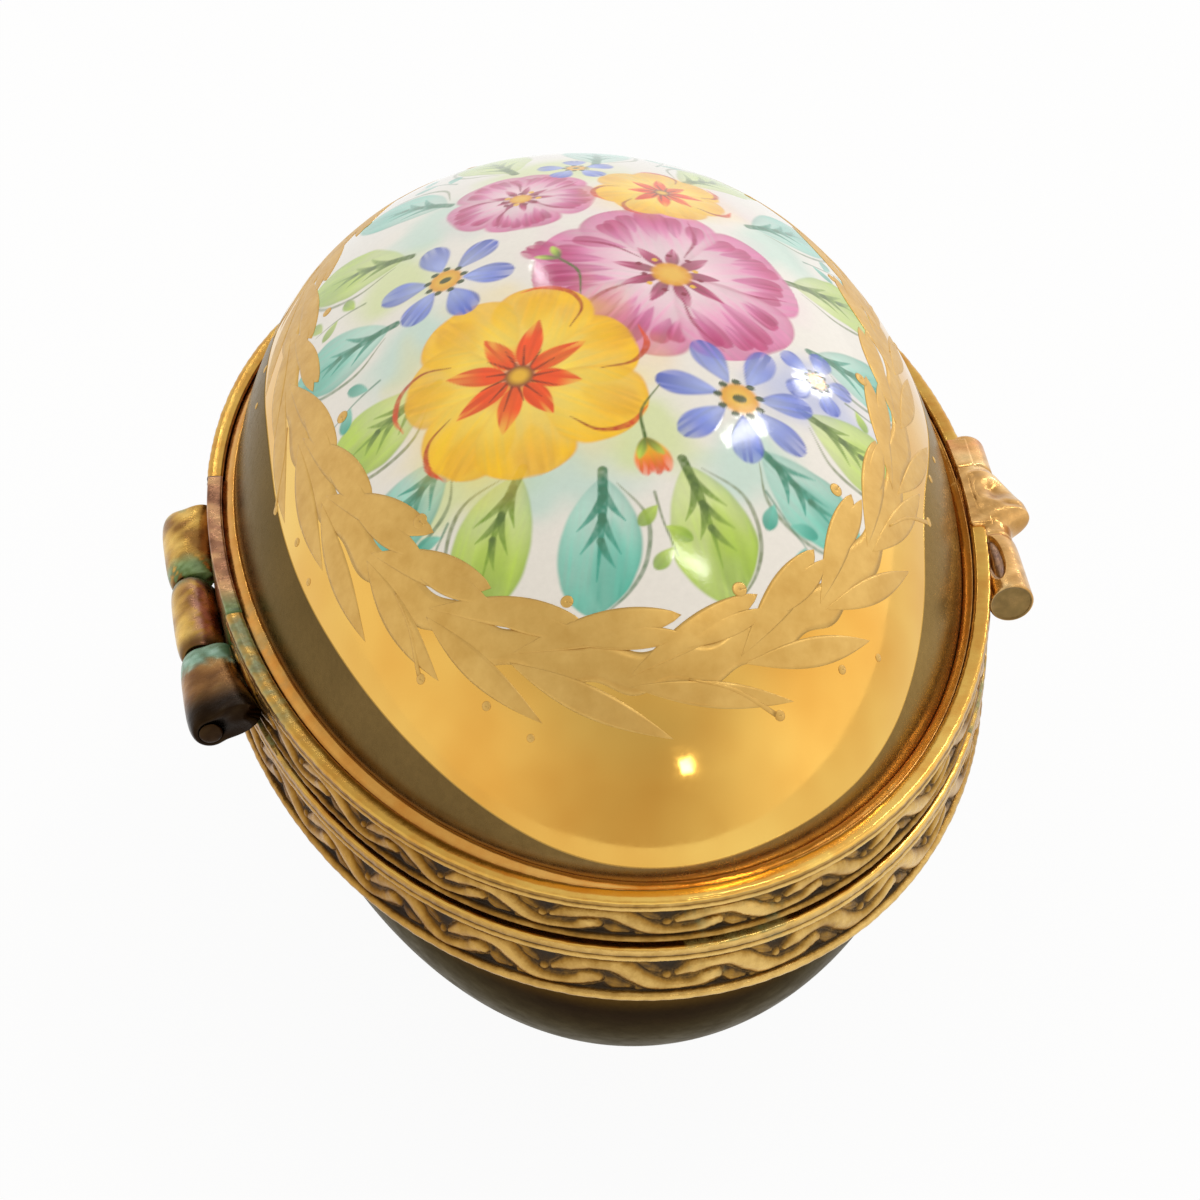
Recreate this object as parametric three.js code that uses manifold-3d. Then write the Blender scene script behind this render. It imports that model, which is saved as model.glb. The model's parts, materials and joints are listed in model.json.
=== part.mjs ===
// Egg-shaped porcelain box with gilt brass mounts, lying in a small brass ring stand.
// Millimetres, +Z up. The egg lies with its long axis along Y and its narrow end towards -Y.
// The hinge runs along the -X side and the clasp sits on the +X side.
// While the pieces are made, Z = 0 is the seam between lid and base. At the end the whole
// object is moved so that its origin is the centre of its footprint on the table.

import * as THREE from "three";
import { mergeVertices } from "three/addons/utils/BufferGeometryUtils.js";
import Module from "manifold-3d";

const wasm = await Module();
wasm.setup();

// Egg: the outline at the seam, the rise of the lid and the depth of the base
const halfWidth = 20;
const halfLength = 30.3;
const farEndSwell = 0.07;
const endFullness = 0.05;
const lidRise = 18.9;
const baseDepth = 24;
const shellWall = 2.2;

// Brass mounts: a collar that grips each shell's edge, and a moulded band soldered round it
const seamGap = 0.3;
const flangeThickness = 0.35;
const flangeReach = 0.3;
const cementBed = 0.3;
const collarClearance = 0.05;
const collarThickness = 0.3;
const lipRise = 0.3;
const lipLean = 0.15;
const collarStraightShare = 0.6;
const bandThickness = 0.85;
const lidBandHeight = 2.85;
const baseBandHeight = 3.65;
const beadHeight = 0.45;
const fieldDepth = 0.18;
const grooveWidth = 0.2;
const grooveDepth = 0.15;
const grooveInset = 1.5 * grooveWidth;
const jointGap = 0.1;

// Hinge: three crowned knuckles on one pin, beside two leaves let into the bands
const hingeCentreY = -2.9;
const hingeTurn = 3.2;
const hingeLength = 18.8;
const knuckleRadius = 1.2;
const knuckleCrown = 0.18;
const knuckleBore = 0.6;
const knuckleGap = 0.25;
const knuckleSetOff = 0.15;
const pinRadius = 0.45;
const pinHeadRadius = 0.85;
const pinHeadThickness = 0.3;
const pinHeadShoulder = { radiusShare: 0.7, heightShare: 0.3 };
const leafLength = 12.4;
const leafShift = 2.9;
const leafThickness = 0.75;

// Clasp: a cast roll with a thumb boss on the lid, its tongue, and the catch on the base
const claspCentreY = -2.9;
const claspTurn = -2.5;
const claspHeight = 1.9;
const claspSetOff = 1.5;
const rollLength = 14.6;
const rollEndRadius = 1.2;
const rollNeckRadius = 1.08;
const rollNeckAt = 2.4;
const rollEndDome = 0.3;
const bossRadius = 1.55;
const bossLength = 3.6;
// Each step down the boss, from its middle to its neck: its radius and its place as shares of the boss
const bossSlope = [
  { radiusShare: 0.96, lengthShare: 0.2 },
  { radiusShare: 0.82, lengthShare: 0.42 },
];
const rollSwellShare = 0.35;
const rollEndShoulder = { radiusShare: 0.8, heightShare: 0.3 };
const nubReach = 2.4;
const nubRadius = 0.5;
// The nub's foot and waist as shares of the boss, and its rounded tip as shares of its own radius
const nubFoot = { radiusShare: 0.75, heightShare: 0.3 };
const nubWaist = { radiusShare: 1.25, heightShare: 0.95 };
const nubTip = { radiusShare: 0.6, shoulderShare: 0.8, crownShare: 0.2 };
const tongueWidth = 3;
const tongueThickness = 0.45;
const tongueDrop = 2.7;
const tongueClearance = 0.15;
const tongueSeat = 0.15;
const tongueLipShare = 1.4;
const catchWidth = 3.8;
const catchHeight = 2;
const catchPlate = 0.2;
const catchNib = 0.3;
const catchNibShare = 0.6;
const catchDrop = 0.7;

// Stand: a seat ring that follows the egg, six turned posts and a flat foot ring
const seatShare = 0.34;
const seatWire = 0.8;
const seatClearance = 0.1;
const standDrop = 4.2;
const footHalfWidth = 9.2;
const footHalfLength = 10;
const footShift = 0.6;
const footWidth = 2;
const footThickness = 1.2;
const footBevel = 0.3;
const postCount = 6;
const postRadius = 0.5;
const postBallRadius = 0.85;
const postGap = 0.2;
// The post's outline from its foot to its middle, as shares of its length; its ends and waist are rounded
const postEnd = { radiusShare: 0.8, heightShare: 0.2 };
const postWaistAt = 0.2;
const postBallShoulder = { radiusShare: 0.9, lengthShare: 0.35 };

// Fineness of the round forms
const aroundEgg = 60;
const upTheShell = 10;
const insideTheShell = 7;
const aroundStand = 40;
const aroundWire = 8;
const aroundSmall = 16;
const aroundNib = 12;
const alongLeaf = 6;
const alongKnuckle = 6;
const mergeDistance = 1e-5;

const seam = seamGap / 2;
const flangeTop = seam + flangeThickness;
const shellEdge = flangeTop + cementBed;
const collarOuter = collarClearance + collarThickness;
const bandInner = collarOuter + jointGap;
const bandOuter = bandInner + bandThickness;
const groundLevel = -(baseDepth + standDrop);

const porcelain = { color: 0xf2efe8, roughness: 0.12, metalness: 0 };
const gilding = { color: 0xb98a3c, roughness: 0.2, metalness: 1 };
const gildedBrass = { color: 0xb8892f, roughness: 0.35, metalness: 1 };
const agedBrass = { color: 0x8d6a35, roughness: 0.45, metalness: 1 };
const plaster = { color: 0xd8d2c4, roughness: 0.9, metalness: 0 };

const object = new THREE.Group();

function addPiece(name, geometry, look, parent = object) {
  const mesh = new THREE.Mesh(geometry, new THREE.MeshStandardMaterial(look));
  mesh.name = name;
  parent.add(mesh);
  return mesh;
}

// A point of the egg's outline at an angle, moved outward by an offset in the outline's plane
function outlinePoint(angle, offset) {
  const c = Math.cos(angle);
  const s = Math.sin(angle);
  const swell = 1 + farEndSwell * s + endFullness * s * s;
  const swellSlope = c * (farEndSwell + 2 * endFullness * s);
  const dx = halfWidth * (c * swellSlope - s * swell);
  const dy = halfLength * c;
  const length = Math.hypot(dx, dy);
  return new THREE.Vector2(
    halfWidth * c * swell + (offset * dy) / length,
    halfLength * s - (offset * dx) / length,
  );
}

// The angle at which the outline passes a given Y, on the +X side or the -X side
function angleAt(y, side) {
  const angle = Math.asin(y / halfLength);
  return side > 0 ? angle : Math.PI - angle;
}

function signedVolume(positions, indices) {
  const a = new THREE.Vector3();
  const b = new THREE.Vector3();
  const c = new THREE.Vector3();
  let total = 0;
  for (let i = 0; i < indices.length; i += 3) {
    a.fromArray(positions, 3 * indices[i]);
    b.fromArray(positions, 3 * indices[i + 1]);
    c.fromArray(positions, 3 * indices[i + 2]);
    total += a.dot(b.cross(c));
  }
  return total;
}

// A closed geometry from points and triangles, with its faces turned to point out
function closedGeometry(points, triangles) {
  const positions = points.flatMap((p) => [p.x, p.y, p.z]);
  const indices = triangles.flat();
  if (signedVolume(positions, indices) < 0) {
    for (let i = 0; i < indices.length; i += 3) {
      [indices[i], indices[i + 1]] = [indices[i + 1], indices[i]];
    }
  }
  const geometry = new THREE.BufferGeometry();
  geometry.setAttribute("position", new THREE.Float32BufferAttribute(positions, 3));
  geometry.setIndex(indices);
  geometry.computeVertexNormals();
  return geometry;
}

// Joins rows of points that each run once round the object. A row of one point is a pole.
function loftRows(rows, joinLastToFirst) {
  const points = rows.flat();
  const starts = rows.map((row, i) => rows.slice(0, i).reduce((sum, r) => sum + r.length, 0));
  const triangles = [];
  const pairs = joinLastToFirst ? rows.length : rows.length - 1;
  for (let r = 0; r < pairs; r += 1) {
    const next = (r + 1) % rows.length;
    const count = Math.max(rows[r].length, rows[next].length);
    for (let i = 0; i < count; i += 1) {
      const j = (i + 1) % count;
      const a = starts[r] + (rows[r].length > 1 ? i : 0);
      const b = starts[r] + (rows[r].length > 1 ? j : 0);
      const c = starts[next] + (rows[next].length > 1 ? i : 0);
      const d = starts[next] + (rows[next].length > 1 ? j : 0);
      if (a !== b) triangles.push([a, b, d]);
      if (c !== d) triangles.push([a, d, c]);
    }
  }
  return closedGeometry(points, triangles);
}

// Sweeps a section once round: place(angle, offset, height) gives each point
function sweepRing(section, place, steps) {
  const angles = Array.from({ length: steps }, (_, i) => (2 * Math.PI * i) / steps);
  const rows = section.map(([offset, height]) => angles.map((a) => place(a, offset, height)));
  return loftRows(rows, true);
}

// Sweeps a section along part of the outline and closes both ends
function sweepArc(section, from, to, place, steps) {
  const count = section.length;
  const points = [];
  for (let i = 0; i <= steps; i += 1) {
    const angle = from + ((to - from) * i) / steps;
    section.forEach(([offset, height]) => points.push(place(angle, offset, height)));
  }
  const triangles = [];
  for (let i = 0; i < steps; i += 1) {
    for (let k = 0; k < count; k += 1) {
      const a = i * count + k;
      const b = i * count + ((k + 1) % count);
      triangles.push([a, b, b + count], [a, b + count, a + count]);
    }
  }
  const flat = section.map(([offset, height]) => new THREE.Vector2(offset, height));
  const last = steps * count;
  THREE.ShapeUtils.triangulateShape(flat, []).forEach(([a, b, c]) => {
    triangles.push(turnCap(flat, a, b, c));
    triangles.push(turnCap(flat, a, b, c).map((k) => last + k).reverse());
  });
  return closedGeometry(points, triangles);
}

// A cap's triangle, wound against the section's own direction
function turnCap(flat, a, b, c) {
  const sectionArea = THREE.ShapeUtils.area(flat);
  const triangleArea = THREE.ShapeUtils.area([flat[a], flat[b], flat[c]]);
  return sectionArea * triangleArea > 0 ? [c, b, a] : [a, b, c];
}

function onEgg(angle, offset, height) {
  const p = outlinePoint(angle, offset);
  return new THREE.Vector3(p.x, p.y, height);
}

function toManifold(geometry) {
  const bare = geometry.clone();
  bare.deleteAttribute("normal");
  bare.deleteAttribute("uv");
  const merged = mergeVertices(bare, mergeDistance);
  return new wasm.Manifold(
    new wasm.Mesh({
      numProp: 3,
      vertProperties: new Float32Array(merged.attributes.position.array),
      triVerts: new Uint32Array(merged.index.array),
    }),
  );
}

function fromManifold(solid) {
  const mesh = solid.getMesh();
  const geometry = new THREE.BufferGeometry();
  geometry.setAttribute("position", new THREE.BufferAttribute(mesh.vertProperties, 3));
  geometry.setIndex(new THREE.BufferAttribute(mesh.triVerts, 1));
  geometry.computeVertexNormals();
  return geometry;
}

// Turned forms: a profile of [radius, length] points spun round the local Y axis
function turned(profile, closeLoop) {
  const points = profile.map(([radius, length]) => new THREE.Vector2(radius, length));
  if (closeLoop) points.push(points[0].clone());
  const lathe = new THREE.LatheGeometry(points, aroundSmall);
  lathe.deleteAttribute("normal");
  lathe.deleteAttribute("uv");
  const merged = mergeVertices(lathe, mergeDistance);
  const index = Array.from(merged.index.array);
  const triangles = [];
  for (let i = 0; i < index.length; i += 3) {
    const [a, b, c] = index.slice(i, i + 3);
    if (a !== b && b !== c && a !== c) triangles.push([a, b, c]);
  }
  const position = merged.attributes.position;
  const vertices = Array.from(
    { length: position.count },
    (_, i) => new THREE.Vector3().fromBufferAttribute(position, i),
  );
  return closedGeometry(vertices, triangles);
}

// Half an egg shell: its outer face from pole to edge, then its inner face back to the pole
function shellGeometry(rise, sign) {
  const angles = Array.from({ length: aroundEgg }, (_, i) => (2 * Math.PI * i) / aroundEgg);
  const face = (inset, steps) => {
    const height = rise - inset;
    const lowest = Math.asin(shellEdge / height);
    const rows = [[new THREE.Vector3(0, 0, sign * height)]];
    for (let i = 1; i <= steps; i += 1) {
      const slope = Math.PI / 2 - ((Math.PI / 2 - lowest) * i) / steps;
      rows.push(
        angles.map((angle) => {
          const p = outlinePoint(angle, -inset).multiplyScalar(Math.cos(slope));
          return new THREE.Vector3(p.x, p.y, sign * height * Math.sin(slope));
        }),
      );
    }
    return rows;
  };
  const outer = face(0, upTheShell);
  const inner = face(shellWall, insideTheShell).reverse();
  return loftRows([...outer, ...inner], false);
}

// The collar's section: a flange under the shell's edge and a wall burnished onto the shell
function collarSection(bandHeight, sign) {
  const bandTop = seam + bandHeight;
  const inner = -(shellWall + flangeReach);
  const section = [
    [inner, seam],
    [collarOuter, seam],
    [collarOuter, bandTop],
    [collarOuter - lipLean, bandTop + lipRise],
    [collarClearance - lipLean, bandTop + lipRise],
    [collarClearance, seam + bandHeight * collarStraightShare],
    [collarClearance, flangeTop],
    [inner, flangeTop],
  ];
  return section.map(([offset, height]) => [offset, sign * height]);
}

// The plaster bed that fills the corner between collar and shell edge
function cementSection(sign) {
  const inner = -shellWall;
  const outer = collarClearance - jointGap;
  const section = [
    [inner, flangeTop + jointGap],
    [outer, flangeTop + jointGap],
    [outer, shellEdge - jointGap],
    [inner, shellEdge - jointGap],
  ];
  return section.map(([offset, height]) => [offset, sign * height]);
}

// The band's section: a bead along each edge, a sunk field between, a groove in the ledge
function bandSection(bandHeight, sign) {
  const bandTop = seam + bandHeight;
  const bevel = beadHeight / 3;
  const field = bandOuter - fieldDepth;
  const groove = bandInner + grooveInset;
  const section = [
    [bandInner, seam],
    [bandOuter - bevel, seam],
    [bandOuter, seam + bevel],
    [bandOuter, seam + beadHeight],
    [field, seam + beadHeight + fieldDepth],
    [field, bandTop - beadHeight - fieldDepth],
    [bandOuter, bandTop - beadHeight],
    [bandOuter, bandTop - bevel],
    [bandOuter - bevel, bandTop],
    [groove + grooveWidth, bandTop],
    [groove, bandTop - grooveDepth],
    [groove - grooveWidth, bandTop],
    [bandInner, bandTop],
  ];
  return section.map(([offset, height]) => [offset, sign * height]);
}

// Angles on the -X side between which the hinge's leaves lie, from far end to near end
const leafFar = angleAt(hingeCentreY + leafShift + leafLength / 2, -1);
const leafNear = angleAt(hingeCentreY + leafShift - leafLength / 2, -1);
const bandGapAngle = jointGap / halfLength;

function addHalf(half, rise, bandHeight, sign) {
  addPiece(`${half}_shell`, shellGeometry(rise, sign), half === "lid" ? porcelain : gilding);
  addPiece(`${half}_cement`, sweepRing(cementSection(sign), onEgg, aroundEgg), plaster);
  addPiece(
    `${half}_collar`,
    sweepRing(collarSection(bandHeight, sign), onEgg, aroundEgg),
    gildedBrass,
  );
  addPiece(
    `${half}_band`,
    sweepArc(
      bandSection(bandHeight, sign),
      leafNear + bandGapAngle,
      leafFar - bandGapAngle + 2 * Math.PI,
      onEgg,
      aroundEgg,
    ),
    gildedBrass,
  );
  const leaf = [
    [bandInner, seam],
    [bandInner + leafThickness, seam],
    [bandInner + leafThickness, seam + bandHeight - beadHeight / 2],
    [bandInner + leafThickness - beadHeight / 2, seam + bandHeight],
    [bandInner, seam + bandHeight],
  ].map(([offset, height]) => [offset, sign * height]);
  addPiece(`hinge_leaf_${half}`, sweepArc(leaf, leafFar, leafNear, onEgg, alongLeaf), agedBrass);
}

addHalf("lid", lidRise, lidBandHeight, 1);
addHalf("base", baseDepth, baseBandHeight, -1);

// Hinge barrel: a group whose own Y axis is the pin's axis
const hingeGroup = new THREE.Group();
const hingeAngle = angleAt(hingeCentreY, -1);
const hingeOffset = bandInner + leafThickness + knuckleSetOff + knuckleRadius;
const hingePlace = outlinePoint(hingeAngle, hingeOffset);
hingeGroup.position.set(hingePlace.x, hingePlace.y, 0);
hingeGroup.rotation.z = THREE.MathUtils.degToRad(hingeTurn);
object.add(hingeGroup);

const knuckleLength = (hingeLength - 2 * knuckleGap) / 3;

function knuckleGeometry() {
  const half = knuckleLength / 2;
  const crown = [];
  for (let i = 0; i <= alongKnuckle; i += 1) {
    const along = -1 + (2 * i) / alongKnuckle;
    crown.push([knuckleRadius - knuckleCrown * along ** 4, half * along]);
  }
  return turned([[knuckleBore, -half], ...crown, [knuckleBore, half]], true);
}

["far", "middle", "near"].forEach((place, i) => {
  const knuckle = addPiece(`hinge_knuckle_${place}`, knuckleGeometry(), agedBrass, hingeGroup);
  knuckle.position.y = (1 - i) * (knuckleLength + knuckleGap);
});

// The pin: its two heads are rounded over outside the end knuckles
function pinGeometry() {
  const half = hingeLength / 2 + jointGap;
  const end = half + pinHeadThickness;
  return turned([
    [0, -end],
    [pinHeadRadius * pinHeadShoulder.radiusShare, -end + pinHeadThickness * pinHeadShoulder.heightShare],
    [pinHeadRadius, -half],
    [pinRadius, -half],
    [pinRadius, half],
    [pinHeadRadius, half],
    [pinHeadRadius * pinHeadShoulder.radiusShare, end - pinHeadThickness * pinHeadShoulder.heightShare],
    [0, end],
  ]);
}

addPiece("hinge_pin", pinGeometry(), agedBrass, hingeGroup);

// Clasp: local Y runs along the rim, local X points out, the roll's axis is at local zero
const claspAngle = angleAt(claspCentreY, 1);
const claspPlace = outlinePoint(claspAngle, claspSetOff);
const claspFrame = new THREE.Matrix4()
  .makeRotationZ(THREE.MathUtils.degToRad(claspTurn))
  .setPosition(claspPlace.x, claspPlace.y, claspHeight);

// The roll: a boss in the middle, a neck on each side and a flared, domed end
function rollGeometry() {
  const half = rollLength / 2;
  const side = [
    [bossRadius, 0],
    ...bossSlope.map((step) => [bossRadius * step.radiusShare, bossLength * step.lengthShare]),
    [rollNeckRadius, rollNeckAt],
    [rollNeckRadius + (rollEndRadius - rollNeckRadius) * rollSwellShare, (rollNeckAt + half) / 2],
    [rollEndRadius, half - rollEndDome],
    [rollEndRadius * rollEndShoulder.radiusShare, half - rollEndDome * rollEndShoulder.heightShare],
    [0, half],
  ];
  const mirrored = side.slice(1).map(([radius, along]) => [radius, -along]).reverse();
  return turned([...mirrored, ...side]);
}

// The thumb nub: a blunt cone standing out of the boss
function nubGeometry() {
  const nub = turned([
    [0, 0],
    [bossRadius * nubFoot.radiusShare, bossRadius * nubFoot.heightShare],
    [nubRadius * nubWaist.radiusShare, bossRadius * nubWaist.heightShare],
    [nubRadius, nubReach - nubRadius * nubTip.shoulderShare],
    [nubRadius * nubTip.radiusShare, nubReach - nubRadius * nubTip.crownShare],
    [0, nubReach],
  ]);
  nub.rotateZ(-Math.PI / 2);
  return nub;
}

// The space of the rim itself, which shapes the back of the pieces that sit on it
function rimSpace(reach) {
  const inside = bandInner - bandThickness;
  const tall = lidBandHeight + baseBandHeight;
  const section = [
    [inside, -tall],
    [reach, -tall],
    [reach, tall],
    [inside, tall],
  ];
  const span = rollLength / halfLength;
  return toManifold(sweepArc(section, claspAngle - span, claspAngle + span, onEgg, aroundSmall));
}

function atClasp(geometry) {
  return toManifold(geometry.applyMatrix4(claspFrame));
}

const claspBody = atClasp(rollGeometry()).add(atClasp(nubGeometry()));
addPiece("clasp_boss", fromManifold(claspBody.subtract(rimSpace(bandOuter + jointGap))), gildedBrass);

// The catch: a small plate on the base's band with a rounded nib across it
function catchGeometry() {
  const top = -(seam + catchDrop);
  const plate = new THREE.BoxGeometry(bandThickness, catchWidth, catchHeight);
  plate.translate(bandOuter + jointGap + catchPlate - bandThickness / 2, 0, top - catchHeight / 2);
  const nib = new THREE.CylinderGeometry(catchNib, catchNib, catchWidth * catchNibShare, aroundNib);
  nib.translate(bandOuter + jointGap + catchPlate, 0, top - catchHeight / 2);
  const frame = seamFrame(claspAngle);
  const solid = toManifold(plate.applyMatrix4(frame)).add(toManifold(nib.applyMatrix4(frame)));
  return fromManifold(solid.subtract(rimSpace(bandOuter + jointGap)));
}

// A frame on the outline itself, at the seam: X out, Y along the rim
function seamFrame(angle) {
  const p = outlinePoint(angle, 0);
  const q = outlinePoint(angle, 1);
  return new THREE.Matrix4()
    .makeRotationZ(Math.atan2(q.y - p.y, q.x - p.x))
    .setPosition(p.x, p.y, 0);
}

addPiece("catch_nib", catchGeometry(), gildedBrass);

// The tongue: a thin strip that hangs from the boss over the catch, its tip turned outward
function tongueGeometry() {
  const face = bandOuter + jointGap + catchPlate + catchNib + tongueClearance;
  const bossUnderside = claspHeight - Math.sqrt(bossRadius ** 2 - (face - claspSetOff) ** 2);
  const top = bossUnderside - tongueSeat;
  const tip = -tongueDrop;
  const shape = new THREE.Shape();
  shape.moveTo(face, top);
  shape.lineTo(face, tip + tongueThickness);
  shape.lineTo(face + tongueThickness / 2, tip);
  shape.lineTo(face + tongueThickness * tongueLipShare, tip);
  shape.lineTo(face + tongueThickness, tip + tongueThickness);
  shape.lineTo(face + tongueThickness, top);
  const strip = new THREE.ExtrudeGeometry(shape, { depth: tongueWidth, bevelEnabled: false });
  strip.translate(0, 0, -tongueWidth / 2);
  strip.rotateX(Math.PI / 2);
  return fromManifold(toManifold(strip.applyMatrix4(seamFrame(claspAngle))));
}

addPiece("clasp_tongue", tongueGeometry(), agedBrass);

// Stand: the seat ring is the egg's own outline made smaller, so it lies flat under the shell
const seatSlope = Math.acos(seatShare);
const seatTouch = -baseDepth * Math.sin(seatSlope);
const seatLevel = seatTouch - seatWire - seatClearance;
const footTop = groundLevel + footThickness;

function onSeat(angle, offset, height) {
  const centre = outlinePoint(angle, 0).multiplyScalar(seatShare);
  const out = outlinePoint(angle, 1).sub(outlinePoint(angle, 0)).multiplyScalar(offset);
  return new THREE.Vector3(centre.x + out.x, centre.y + out.y, height);
}

function onFoot(angle, offset, height) {
  const middle = footWidth / 2;
  return new THREE.Vector3(
    (footHalfWidth - middle + offset) * Math.cos(angle),
    footShift + (footHalfLength - middle + offset) * Math.sin(angle),
    height,
  );
}

const wireSection = Array.from({ length: aroundWire }, (_, i) => {
  const turn = (2 * Math.PI * (i + 0.5)) / aroundWire;
  return [seatWire * Math.cos(turn), seatLevel + seatWire * Math.sin(turn)];
});
addPiece("stand_seat_ring", sweepRing(wireSection, onSeat, aroundStand), gildedBrass);

const footSection = [
  [-footWidth / 2, groundLevel],
  [footWidth / 2, groundLevel],
  [footWidth / 2, footTop - footBevel],
  [footWidth / 2 - footBevel, footTop],
  [-footWidth / 2 + footBevel, footTop],
  [-footWidth / 2, footTop - footBevel],
];
addPiece("stand_foot_ring", sweepRing(footSection, onFoot, aroundStand), gildedBrass);

// Posts: turned balusters that lean from the foot ring to the seat ring
for (let i = 0; i < postCount; i += 1) {
  const angle = (2 * Math.PI * (i + 0.5)) / postCount;
  const low = onFoot(angle, 0, footTop + postGap);
  const high = onSeat(angle, 0, seatLevel - seatWire - postGap);
  const length = high.z - low.z;
  const lean = new THREE.Vector3().subVectors(high, low).normalize();
  const stretch = length / lean.z;
  const post = addPiece(`stand_post_${i + 1}`, postGeometry(stretch), gildedBrass);
  post.position.copy(low);
  post.quaternion.setFromUnitVectors(new THREE.Vector3(0, 1, 0), lean);
}

function postGeometry(length) {
  return turned([
    [0, 0],
    [postRadius * postEnd.radiusShare, postRadius * postEnd.heightShare],
    [postRadius, length * postWaistAt],
    [postBallRadius * postBallShoulder.radiusShare, length * postBallShoulder.lengthShare],
    [postBallRadius, length / 2],
    [postBallRadius * postBallShoulder.radiusShare, length * (1 - postBallShoulder.lengthShare)],
    [postRadius, length * (1 - postWaistAt)],
    [postRadius * postEnd.radiusShare, length - postRadius * postEnd.heightShare],
    [0, length],
  ]);
}

// The origin: the middle of the object's footprint, at table level
const extent = new THREE.Box3().setFromObject(object, true);
const middle = extent.getCenter(new THREE.Vector3());
object.position.set(-middle.x, -middle.y, -extent.min.z);
object.updateMatrixWorld(true);

export default object;
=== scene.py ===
# The looks of an egg-shaped porcelain box with gilt brass mounts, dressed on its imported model.
# Sizes are in millimetres in the egg's own axes: Z = 0 is the seam between lid and base, the long
# axis is Y, and the narrow end points to -Y. placed() turns them into metres in the model's frame.

import json
import math

import bmesh
import bpy
import numpy as np
from mathutils import Matrix, Vector


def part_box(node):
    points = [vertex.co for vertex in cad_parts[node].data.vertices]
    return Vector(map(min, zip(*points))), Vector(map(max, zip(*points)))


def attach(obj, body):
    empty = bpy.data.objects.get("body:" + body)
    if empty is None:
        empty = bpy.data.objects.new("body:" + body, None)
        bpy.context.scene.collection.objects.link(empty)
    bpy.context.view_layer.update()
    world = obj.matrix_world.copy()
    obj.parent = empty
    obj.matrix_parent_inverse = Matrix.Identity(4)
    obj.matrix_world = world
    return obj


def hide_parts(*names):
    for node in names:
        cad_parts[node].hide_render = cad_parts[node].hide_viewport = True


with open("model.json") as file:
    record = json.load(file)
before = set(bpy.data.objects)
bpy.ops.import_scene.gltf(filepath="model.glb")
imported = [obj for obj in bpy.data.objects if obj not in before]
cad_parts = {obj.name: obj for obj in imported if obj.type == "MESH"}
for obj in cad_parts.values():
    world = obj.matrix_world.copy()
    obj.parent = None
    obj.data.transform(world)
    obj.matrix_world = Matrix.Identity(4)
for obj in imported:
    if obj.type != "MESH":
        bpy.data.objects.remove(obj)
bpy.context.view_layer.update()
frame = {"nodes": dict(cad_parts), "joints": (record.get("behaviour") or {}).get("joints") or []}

# Driving sizes, the same as in the model's own source
HALF_WIDTH = 20.0
HALF_LENGTH = 30.3
FAR_END_SWELL = 0.07
END_FULLNESS = 0.05
LID_RISE = 18.9
BASE_DEPTH = 24.0
SHELL_WALL = 2.2
SHELL_EDGE = 0.8
SEAM = 0.15
FLANGE_TOP = 0.5
FLANGE_INNER = -2.5
COLLAR_OUTER = 0.35
BAND_INNER = 0.45
BAND_OUTER = 1.3
LID_BAND_TOP = 3.0
BASE_BAND_BOTTOM = -3.8
LEAF_FAR_Y = 6.2
LEAF_NEAR_Y = -6.2
LEAF_OUTER = 1.2
HINGE_LENGTH = 18.8
KNUCKLE_RADIUS = 1.2
KNUCKLE_BORE = 0.6
KNUCKLE_GAP = 0.25
PIN_RADIUS = 0.45
PIN_HEAD_SHOWN = 0.62
PIN_HEAD_THICKNESS = 0.3
PIN_END_GAP = 0.1
CLASP_Y = -2.9
CLASP_TURN = -2.5
CLASP_HEIGHT = 1.9
CLASP_SET_OFF = 1.5
ROLL_LENGTH = 14.6
SEAT_SHARE = 0.34
SEAT_WIRE = 0.8
SEAT_CLEARANCE = 0.1
STAND_DROP = 4.2
FOOT_HALF_WIDTH = 9.2
FOOT_HALF_LENGTH = 10.0
FOOT_SHIFT = 0.6
FOOT_WIDTH = 2.0
FOOT_THICKNESS = 1.2
POST_COUNT = 6
POST_RADIUS = 0.5
POST_BALL_RADIUS = 0.85

# The glaze lies this share inside the model's faces, so that the enamel on it stays inside too
GLAZE_SHARE = 0.995

MM = 0.001
shell_low, shell_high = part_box("lid_shell")
EGG_ORIGIN = np.array([
    (shell_low.x + shell_high.x) / 2,
    (shell_low.y + shell_high.y) / 2,
    shell_low.z - SHELL_EDGE * MM,
])


# Shapes

def placed(points):
    return np.asarray(points, float) * MM + EGG_ORIGIN


def full_turn(count):
    """Angles once round, evenly spaced, without a last one on top of the first."""
    return np.linspace(0, 2 * math.pi, count, endpoint=False)


def run(steps):
    """The length covered up to each point of a path, from its steps."""
    return np.concatenate([[0], np.cumsum(steps)])


def outline(angle, offset=0.0):
    """The egg's outline at the seam, moved outward in its own plane."""
    c, s = np.cos(angle), np.sin(angle)
    swell = 1 + FAR_END_SWELL * s + END_FULLNESS * s * s
    dx = HALF_WIDTH * (c * c * (FAR_END_SWELL + 2 * END_FULLNESS * s) - s * swell)
    dy = HALF_LENGTH * c
    length = np.hypot(dx, dy)
    return HALF_WIDTH * c * swell + offset * dy / length, HALF_LENGTH * s - offset * dx / length


def angle_at(y, side):
    angle = math.asin(y / HALF_LENGTH)
    return angle if side > 0 else math.pi - angle


def raised(x, y, heights):
    return np.stack([x, y, heights + 0 * x], -1)


def heading_parts(heading):
    """How far one step along a heading in degrees goes in each of a plane's two ways."""
    return math.cos(math.radians(heading)), math.sin(math.radians(heading))


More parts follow.
